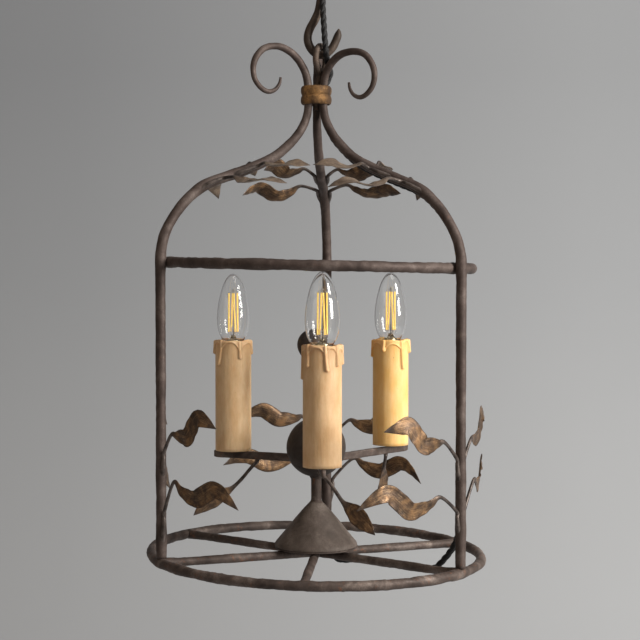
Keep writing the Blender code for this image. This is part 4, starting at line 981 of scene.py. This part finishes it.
def make_base():
    """Base plate, cone, bush, column, ball and finial."""
    top = CONE_BOTTOM - GAP
    low = top - BASE_PLATE_THICKNESS
    rim = CONE_RADIUS
    profile = [(0.0, top), (rim - 0.0003, top), (rim, top - 0.0003), (rim, low + 0.0003), (rim - 0.0003, low),
               (0.0, low)]
    show("base_disc", turned("base_plate", profile, 72, uneven=0.0002), BASE_IRON, "cage")
    hole = COLUMN_RADIUS + GAP
    slope = through([
        (hole + CONE_WALL * 0.6, CONE_TOP), (hole + CONE_WALL * 1.2, CONE_TOP - 0.0006),
        (0.0165, 0.0430), (0.0262, 0.0315), (0.0352, 0.0205), (0.0405, 0.0142), (0.0425, 0.0116),
        (rim - 0.0002, CONE_BOTTOM + 0.0018), (rim, CONE_BOTTOM + 0.0004),
    ], 5)
    inside = rim - CONE_WALL
    profile = [(hole, CONE_TOP - 0.0004), *slope, (rim - 0.0002, CONE_BOTTOM), (inside, CONE_BOTTOM),
               (inside - 0.0012, CONE_BOTTOM + 0.0035), (hole, CONE_TOP - 2 * CONE_WALL)]
    mesh = turned("base_cone", profile, 96, uneven=0.00055, marks=75.0)
    show("beaten_cone", mesh, CONE_IRON, "cage")
    bore = FLEX_RADIUS + GAP
    place = around(0.016, UPRIGHT_ANGLES["right"] + 30)
    profile = [(bore, top + 0.0012), (bore + 0.0005, top + 0.0015), (BUSH_OUTER, top + 0.0015),
               (BUSH_OUTER, low - 0.0008), (bore + 0.0004, low - 0.0008), (bore, low - 0.0004)]
    mesh = turned("flex_bush", profile, 36, place)
    show("moulded_bush", mesh, BLACK, "cage")
    ball_low = BALL_HEIGHT - BALL_RADIUS
    neck = COLUMN_RADIUS
    profile = through([
        (0.0038, ball_low + 0.004), (neck, ball_low + 0.004), (neck + 0.0016, ball_low + 0.0006),
        (neck + 0.0007, ball_low - 0.0012), (neck, ball_low - 0.0035), (neck, 0.066), (neck, 0.0570),
        (neck + 0.0008, CONE_TOP + 0.0008), (neck + 0.0019, CONE_TOP - 0.0008), (neck, CONE_TOP - 0.0020),
        (neck, COLUMN_BOTTOM), (0.0038, COLUMN_BOTTOM),
    ], 4)
    mesh = turned("column", profile, 40, uneven=0.00022, marks=150.0)
    show("welded_column", mesh, BASE_IRON, "cage")
    arc = [i / 40 * math.pi for i in range(41)]
    profile = [(BALL_RADIUS * math.sin(a), BALL_RADIUS * math.cos(a)) for a in arc]
    mesh = turned("junction_ball", profile, 88, (0.0, 0.0, BALL_HEIGHT), uneven=0.00042, marks=60.0)
    show("beaten_ball", mesh, BALL_IRON, "cage")
    drop = FINIAL_HEIGHT - BALL_HEIGHT
    foot = BALL_RADIUS - drop
    arc = (i / 26 * 2.78 for i in range(27))
    knob = [(FINIAL_RADIUS * math.sin(a), FINIAL_RADIUS * math.cos(a)) for a in arc]
    stem = [(neck + 0.0012, -FINIAL_RADIUS - 0.0006), (neck, -FINIAL_RADIUS - 0.0035), (neck, foot + 0.020),
            (neck, foot + 0.005), (neck + 0.0008, foot + 0.0022), (neck + 0.0022, foot + 0.0003),
            (0.0, foot + 0.0003)]
    lean = Matrix.Rotation(math.radians(-FINIAL_LEAN), 4, "Y")
    place = raised(BALL_HEIGHT) + lean.to_3x3() @ raised(drop)
    mesh = turned("finial", knob + stem, 64, place, uneven=0.00030, marks=90.0, lean=lean)
    show("beaten_finial", mesh, BALL_IRON, "cage")


# ---- arms ----
def rise_at(place, out):
    """How far an arm has risen at that distance from the axis."""
    return ARM_RISE[place] * (out - ARM_START) / (ARM_END - ARM_START)


# each point of the leaf's line: distance from the axis, how far aside, height, width as a share of LEAF_WIDTH
ARM_LEAF = [
    (0.0690, -0.0005, 0.0945, 0.26), (0.0700, 0.0000, 0.0920, 0.23), (0.0715, 0.0040, 0.0890, 0.21),
    (0.0750, 0.0095, 0.0830, 0.20), (0.0800, 0.0150, 0.0750, 0.21), (0.0870, 0.0210, 0.0665, 0.26),
    (0.0930, 0.0270, 0.0610, 0.66), (0.1000, 0.0330, 0.0560, 1.05), (0.1070, 0.0390, 0.0505, 0.95),
    (0.1140, 0.0450, 0.0440, 0.55), (0.1190, 0.0500, 0.0385, 0.03),
]
ARM_LEAF_RIGHT = [
    (0.0913, -0.0005, 0.0945, 0.26), (0.0915, 0.0000, 0.0920, 0.23), (0.0925, 0.0020, 0.0890, 0.20),
    (0.0935, 0.0045, 0.0840, 0.20), (0.0945, 0.0070, 0.0790, 0.24), (0.0960, 0.0100, 0.0735, 0.50),
    (0.0985, 0.0140, 0.0670, 0.80), (0.1010, 0.0180, 0.0600, 1.00), (0.1035, 0.0215, 0.0530, 0.90),
    (0.1060, 0.0250, 0.0455, 0.55), (0.1085, 0.0285, 0.0385, 0.04),
]
# which way its blade faces: away from the axis, and towards smaller angles
ARM_LEAF_FACE = {"front": (0.75, 0.6), "left": (0.75, 0.6), "right": (0.1, 0.95)}


ARM_ROWS = 46
ARM_SIDES = 28
ARM_CORNERS = 0.38          # the power that makes its section a bar with rounded corners


def rounded(share):
    """A cosine or sine moved towards a rounded bar's outline."""
    return math.copysign(abs(share) ** ARM_CORNERS, share)


def make_arm(place, angle):
    """A flat hammered bar from the ball, and the leaf under it."""
    start = BALL_RADIUS - 0.0025
    out = around(1.0, angle)
    side = around(1.0, angle + 90)
    points = []
    wear = []
    for i in range(ARM_ROWS):
        t = i / (ARM_ROWS - 1)
        reach = start + (ARM_END - start) * t
        middle = out * reach + raised(ARM_TOP - ARM_DEPTH / 2 + rise_at(place, reach))
        tip = 1.0 - 0.18 * max(0.0, (t - 0.97) / 0.03)
        for k in range(ARM_SIDES):
            a = math.tau * k / ARM_SIDES
            c, s = math.cos(a), math.sin(a)
            at = (middle + side * (ARM_THICKNESS / 2 * tip * rounded(c))
                  + raised(ARM_DEPTH / 2 * tip * rounded(s)))
            facet, slow = beaten(at, 120.0, 45.0)
            points.append(at + (side * c + raised(s)) * (0.00032 * (slow - facet * 0.6)))
            wear.append(0.55 - facet * 0.4 + slow * 0.3 + 0.2 * (abs(c) > 0.5 and abs(s) > 0.5))
    mesh = mesh_of("arm_" + place, points, ring_faces(ARM_ROWS, ARM_SIDES))
    add_numbers(mesh, "wear", wear)
    show("forged_arm_" + place, mesh, BASE_IRON, "cage")
    leaf = ARM_LEAF_RIGHT if place == "right" else ARM_LEAF
    reach, _, root, _ = leaf[1]
    drop = ARM_TOP + rise_at(place, reach) - ARM_DEPTH - 2 * GAP - STEM_RADIUS - root
    outward, aside_share = ARM_LEAF_FACE[place]
    stations = []
    for reach, aside, height, width in leaf:
        middle = around(reach, angle, height + drop) + around(aside, angle + 90)
        face = around(outward, angle, 0.2) + around(aside_share, angle - 90)
        half = LEAF_WIDTH / 2 * width
        thick = min(0.0019 if width < 0.3 else LEAF_THICKNESS / 2, half)
        stations.append((*middle, *face, half, thick, min(1.0, max(0.0, (width - 0.25) / 0.3))))
    name = "arm_leaf_" + place
    show("forged_" + name, leaf_mesh(name, [stations]), BRONZE, "cage")


# ---- candles ----
# each drip: angle from the side that faces the front, how far it runs down and bends sideways, half width
DRIPS = {
    "left": [
        (-84, 0.0150, 0.0, 0.0016), (-38, 0.0275, -0.22, 0.0013), (22, 0.0190, 0.05, 0.0012),
        (84, 0.0155, 0.06, 0.0013), (130, 0.021, 0.05, 0.0013), (178, 0.014, -0.05, 0.0013),
        (228, 0.024, 0.08, 0.0014),
    ],
    "front": [
        (-88, 0.0340, 0.0, 0.0012), (-46, 0.0225, -0.03, 0.0014), (8, 0.0255, 0.10, 0.0013),
        (46, 0.0210, 0.05, 0.0013), (88, 0.0200, 0.0, 0.0014), (136, 0.018, 0.06, 0.0013),
        (190, 0.027, -0.06, 0.0014), (232, 0.016, 0.04, 0.0013),
    ],
    "right": [
        (-86, 0.0190, 0.0, 0.0014), (-25, 0.0130, -0.04, 0.0016), (34, 0.0310, 0.10, 0.0013),
        (78, 0.0150, 0.04, 0.0019), (128, 0.022, 0.05, 0.0013), (176, 0.015, 0.0, 0.0014),
        (226, 0.027, -0.06, 0.0013),
    ],
}
SLEEVE_COLUMNS = 200


def candle_foot(place, angle):
    """Where a candle stands on its arm."""
    return around(CANDLE_RADIUS, angle, ARM_TOP + GAP + rise_at(place, CANDLE_RADIUS + SLEEVE_OUTER))


def make_sleeve(place, angle):
    """A candle sleeve with the wax that has run down from its rim."""
    foot = np.array(candle_foot(place, angle))
    tall = SLEEVE_HEIGHT[place]
    turn = np.arange(SLEEVE_COLUMNS) * 360.0 / SLEEVE_COLUMNS - 180.0
    around_it = np.radians(turn)
    drips = sorted((a if a <= 180 else a - 360, *rest) for a, *rest in DRIPS[place])
    wrapped = [(drips[-1][0] - 360, *drips[-1][1:]), *drips, (drips[0][0] + 360, *drips[0][1:])]
    arc = math.radians(1.0) * SLEEVE_OUTER
    film = np.zeros(SLEEVE_COLUMNS)
    for (a, *_), (b, *_) in zip(wrapped, wrapped[1:]):
        inside = (turn >= a) & (turn < b)
        u = (turn[inside] - a) / (b - a)
        shallow = 0.0034 + 0.0016 * math.sin(a * 0.7)
        film[inside] = shallow + (0.0105 - shallow) * np.abs(2 * u - 1) ** 2.4
    lip = 0.0005 * np.sin(around_it * 3 + angle) + 0.0004 * np.sin(around_it * 7 + 1.0) - 0.0009
    high = np.concatenate([np.linspace(0.0, 0.080, 24)[:-1], np.linspace(0.080, tall, 74)])
    a = around_it - math.pi / 2
    points = []
    stain_and_shade = []
    for z in high:
        level = z + lip * max(0.0, (z - 0.100) / (tall - 0.100))
        depth = tall + lip - level
        body = SLEEVE_OUTER + 0.00005 * np.sin(around_it * 7 + z * 14)
        body += 0.00003 * np.sin(around_it * 17 + 2 + z * 9)
        rise = np.clip((film - depth) / 0.0011, 0.0, 1.0)
        wax = 0.00055 * np.sqrt(np.clip(1 - (1 - rise) ** 2, 0, 1))
        wax += 0.00065 * np.exp(-((depth - film + 0.0007) / 0.0008) ** 2)
        # Painted shade, stored with the aged-wax stain: darker just below the edge of the wax run, and in a
        # band each side of every drip.
        shade = np.exp(-(np.clip(depth - film, 0.0, None) / 0.006)) * (depth > film)
        for at, run, bend, half in wrapped:
            share = np.clip(depth / run, 0.0, 1.0)
            centre = at + math.degrees(1) * bend * share ** 2
            width = half * (1.15 + 0.55 * share ** 2)
            beyond = np.clip(depth - (run - width), 0.0, None)
            off = np.hypot((turn - centre) * arc, beyond)
            wax = np.maximum(wax, np.sqrt(np.clip(1 - (off / width) ** 2, 0, 1)) * width * 1.05)
            beside = (off > width) * (depth < run + 0.004)
            shade = np.maximum(shade, 0.8 * np.exp(-((off - width) / 0.0016) ** 2) * beside)
        radius = body + wax - 0.0009 * np.clip((0.0012 - depth) / 0.0012, 0.0, 1.0) ** 2
        points.append(np.column_stack([radius * np.cos(a), radius * np.sin(a), level]))
        stain_and_shade.append(np.clip(shade, 0, 1))
    # The rim and the bore get an even share of stain and painted shade.
    for radius, level in (
        (SLEEVE_BORE + 0.0007, tall + lip + 0.0003), (SLEEVE_BORE, tall + lip - 0.0002),
        (SLEEVE_BORE, tall - 0.010 + 0 * lip), (SLEEVE_BORE, 0 * lip),
    ):
        points.append(np.column_stack([radius * np.cos(a), radius * np.sin(a), level]))
        stain_and_shade.append(np.full(SLEEVE_COLUMNS, 0.35))
    faces = ring_faces(len(points), SLEEVE_COLUMNS, loop=True)
    mesh = mesh_of("candle_sleeve_" + place, np.vstack(points) + foot, faces)
    flip_outward(mesh)
    add_numbers(mesh, "stain_and_shade", np.concatenate(stain_and_shade))
    show("waxed_sleeve_" + place, mesh, WAX_TONED_TO_LIGHT[place], "sleeve_" + place)


def add_tube(points, faces, line, sides, radius):
    """Adds a plain round tube to a mesh's points and faces, for wires and sticks."""
    faces += ring_faces(len(line), sides, len(points))
    points += list(swept(np.array([tuple(p) for p in line]), sides, radius))

# from the tip down to the neck, as shares of the bulb's radius and length
BULB_OUTLINE = [
    (0.0, 1.0), (0.16, 0.992), (0.30, 0.965), (0.46, 0.915), (0.62, 0.84), (0.76, 0.74), (0.88, 0.62),
    (0.96, 0.50), (1.0, 0.38), (0.98, 0.27), (0.90, 0.17), (0.74, 0.08), (0.50, 0.0),
]
def make_candle(place, angle):
    """Lampholder, sleeve and bulb."""
    make_sleeve(place, angle)
    foot = candle_foot(place, angle)
    bore = CAP_RADIUS + 0.0004
    top = HOLDER_HEIGHT[place]
    floor = top - CAP_LENGTH + 0.004
    wide = HOLDER_RADIUS
    profile = [(0.0, floor), (bore, floor), (bore, top - 0.0004), (bore + 0.0004, top), (wide - 0.001, top),
               (wide, top - 0.001), (wide, 0.075), (wide - 0.0006, 0.0744), (wide - 0.0006, 0.0732),
               (wide, 0.0726), (wide, 0.0022), (wide + 0.0016, 0.0020), (wide + 0.002, 0.0016),
               (wide + 0.002, 0.0), (0.0, 0.0)]
    mesh = turned("lampholder_" + place, profile, 48, foot)
    show("moulded_holder_" + place, mesh, BLACK, "cage")

    seat = foot + raised(floor + GAP)
    wide = CAP_RADIUS
    profile = [(0.0, CAP_LENGTH), (wide - 0.0006, CAP_LENGTH), (wide, CAP_LENGTH - 0.0008),
               (wide, CAP_LENGTH - 0.0035)]
    for i in range(5):
        z = CAP_LENGTH - 0.0050 - i * 0.0030
        profile += [(wide - 0.0008, z), (wide - 0.0003, z - 0.0009), (wide, z - 0.0015),
                    (wide - 0.0003, z - 0.0021)]
    profile += [(wide - 0.0010, 0.0046), (0.0050, 0.0030), (0.0040, 0.0026), (0.0034, 0.0006), (0.0024, 0.0),
                (0.0, 0.0)]
    mesh = turned("bulb_cap_" + place, profile, 48, seat)
    show("screw_cap_" + place, mesh, BRASS, "bulb_" + place)

    neck = CAP_LENGTH - 0.0040
    outline = through([(BULB_RADIUS * r, neck + BULB_LENGTH * z) for r, z in BULB_OUTLINE], 4)
    outline[0, 0] = 0.0
    outline[:, 0] = np.clip(outline[:, 0], 0.0, BULB_RADIUS)
    slope = np.gradient(outline, axis=0)
    slope /= np.linalg.norm(slope, axis=1)[:, None]
    inner = outline + np.column_stack([slope[:, 1], -slope[:, 0]]) * GLASS_WALL
    inner[0] = (0.0, outline[0, 1] - GLASS_WALL * 1.6)
    inner = inner[(inner[:, 0] > 0) | (np.arange(len(inner)) == 0)]
    profile = [tuple(p) for p in outline] + [tuple(p) for p in inner[::-1]]
    mesh = turned("bulb_glass_" + place, profile, 72, seat, sharp=None)
    show("clear_bulb_" + place, mesh, GLASS, "bulb_" + place)

    low = CAP_LENGTH + 0.0085
    high = neck + BULB_LENGTH * 0.72
    sticks, stick_faces, leads, lead_faces = [], [], [], []
    for i in range(4):
        stand = around(STICK_CIRCLE, STICK_TURN + 90 * i)
        lean = around(0.0007, STICK_TURN + 90 * i + 90)
        ends = [stand + lean + raised(low), stand * 0.86 - lean + raised(high)]
        line = [ends[0].lerp(ends[1], t) for t in (0, 0.02, 0.98, 1)]
        add_tube(sticks, stick_faces, line, 10, STICK_RADIUS)
        for end, hub in zip(ends, (raised(low - 0.006), raised(high + 0.0045))):
            bent = hub.lerp(end, 0.6) + raised((end - hub).z * 0.1)
            add_tube(leads, lead_faces, through([hub, bent, end], 5), 6, 0.00028)
    for bottom, top in ((CAP_LENGTH, low - 0.0055), (low - 0.006, high + 0.0047)):
        line = [(0.0, 0.0, z) for z in (bottom, (bottom + top) / 2, top)]
        add_tube(leads, lead_faces, line, 6, 0.0004)
    mesh = mesh_of("bulb_filament_" + place, np.array(sticks) + np.array(seat), stick_faces)
    show("filament_sticks_" + place, mesh, PAINTED_GLOW_FILAMENT, "bulb_" + place)
    mesh = mesh_of("bulb_leads_" + place, np.array(leads) + np.array(seat), lead_faces)
    show("bulb_leads_" + place, mesh, WIRE, "bulb_" + place, ())
    stem = CAP_LENGTH - 0.002
    profile = through([
        (0.0, stem + 0.0165), (0.0016, stem + 0.0160), (0.0021, stem + 0.0135), (0.0019, stem + 0.0095),
        (0.0026, stem + 0.0055), (0.0046, stem + 0.0020), (0.0056, stem + 0.0006), (0.0, stem + 0.0004),
    ], 3)
    mesh = turned("bulb_stem_" + place, np.clip(profile, 0.0, None), 32, seat, sharp=None)
    show("glass_stem_" + place, mesh, GLASS, "bulb_" + place, ())


make_uprights()
make_rings()
make_hooks()
make_rose()
make_collar()
make_base()
for arm_place, arm_angle in ARM_ANGLES.items():
    make_arm(arm_place, arm_angle)
    make_candle(arm_place, arm_angle)


# ---- studio ----
# The paper's painted shade and painted light, the ends of a gradient across it; the darker one also gives its
# faint mottle.
PAPER_SHADE_AND_MOTTLE = (0.262, 0.273, 0.290)
PAPER_PAINTED_LIT = (0.462, 0.478, 0.498)
FLOOR_DROP = 0.62           # from the base ring down to the floor
WALL_DISTANCE = 1.9
SWEEP_RADIUS = 0.9
# name, place, size, watts, colour
LIGHTS = (
    ("key_right", (2.1, -1.0, 0.35), (0.8, 1.7), 116.0, (1.0, 0.97, 0.92)),
    ("fill_left", (-2.2, -1.6, 0.1), (1.4, 1.4), 6.0, (1.0, 0.84, 0.68)),
    ("top_soft", (0.6, -0.5, 1.7), (1.4, 1.4), 14.0, (1.0, 0.99, 0.98)),
)


def make_studio():
    """A pale floor that sweeps up into a wall, with painted light and shade across it, and soft lights."""
    floor = SHIFT.z - FLOOR_DROP
    bend = SWEEP_RADIUS
    flat = WALL_DISTANCE - bend
    profile = [(-3.4, floor), (flat, floor)]
    for i in range(1, 25):
        a = i / 24 * math.pi / 2
        profile.append((flat + bend * math.sin(a), floor + bend - bend * math.cos(a)))
    profile.append((WALL_DISTANCE, floor + 5.0))
    points = []
    for x in (-4.5, 4.5):
        points += [(x, y, z) for y, z in profile]
    count = len(profile)
    faces = [(i, i + 1, count + i + 1, count + i) for i in range(count - 1)]
    mesh = bpy.data.meshes.new("studio_sweep")
    mesh.from_pydata(points, [], faces)
    mesh.shade_smooth()
    sweep = bpy.data.objects.new("studio_sweep", mesh)
    bpy.context.scene.collection.objects.link(sweep)
    s = Shader("studio_paper", Specular_IOR_Level=0.1)
    paper = s.noise(s.place(), 3.0, 3.0)
    # Painted light: darker to the left and towards the top, lighter to the right and towards the bottom.
    corner = s.add("SeparateXYZ", {"Vector": s.place()})
    light = s.maths("ADD", s.fit(corner.outputs["X"], -0.55, 0.60, 0.0, 0.35),
                    s.fit(corner.outputs["Z"], 0.05, -1.15, 0.0, 0.65))
    tone = s.mix(light, PAPER_SHADE_AND_MOTTLE, PAPER_PAINTED_LIT)
    tone = s.mix(s.fit(paper, 0.3, 0.7, 0.0, 0.04), tone, PAPER_SHADE_AND_MOTTLE)
    s.finish(tone, s.fit(paper, 0.3, 0.7, 0.90, 0.95))
    mesh.materials.append(s.material)

    world = bpy.data.worlds.new("studio_world")
    world.use_nodes = True
    world.node_tree.nodes["Background"].inputs["Color"].default_value = (0.92, 0.80, 0.69, 1.0)
    world.node_tree.nodes["Background"].inputs["Strength"].default_value = 0.24
    bpy.context.scene.world = world
    aim = Vector((SHIFT.x, 0.0, SHIFT.z + 0.2))
    for name, place, size, power, colour in LIGHTS:
        data = bpy.data.lights.new(name, "AREA")
        data.shape = "RECTANGLE"
        data.size, data.size_y = size
        data.energy = power
        data.color = colour
        lamp = bpy.data.objects.new(name, data)
        lamp.location = place
        lamp.rotation_euler = (aim - lamp.location).to_track_quat("-Z", "Y").to_euler()
        bpy.context.scene.collection.objects.link(lamp)


make_studio()
bpy.context.scene.view_settings.view_transform = "Standard"
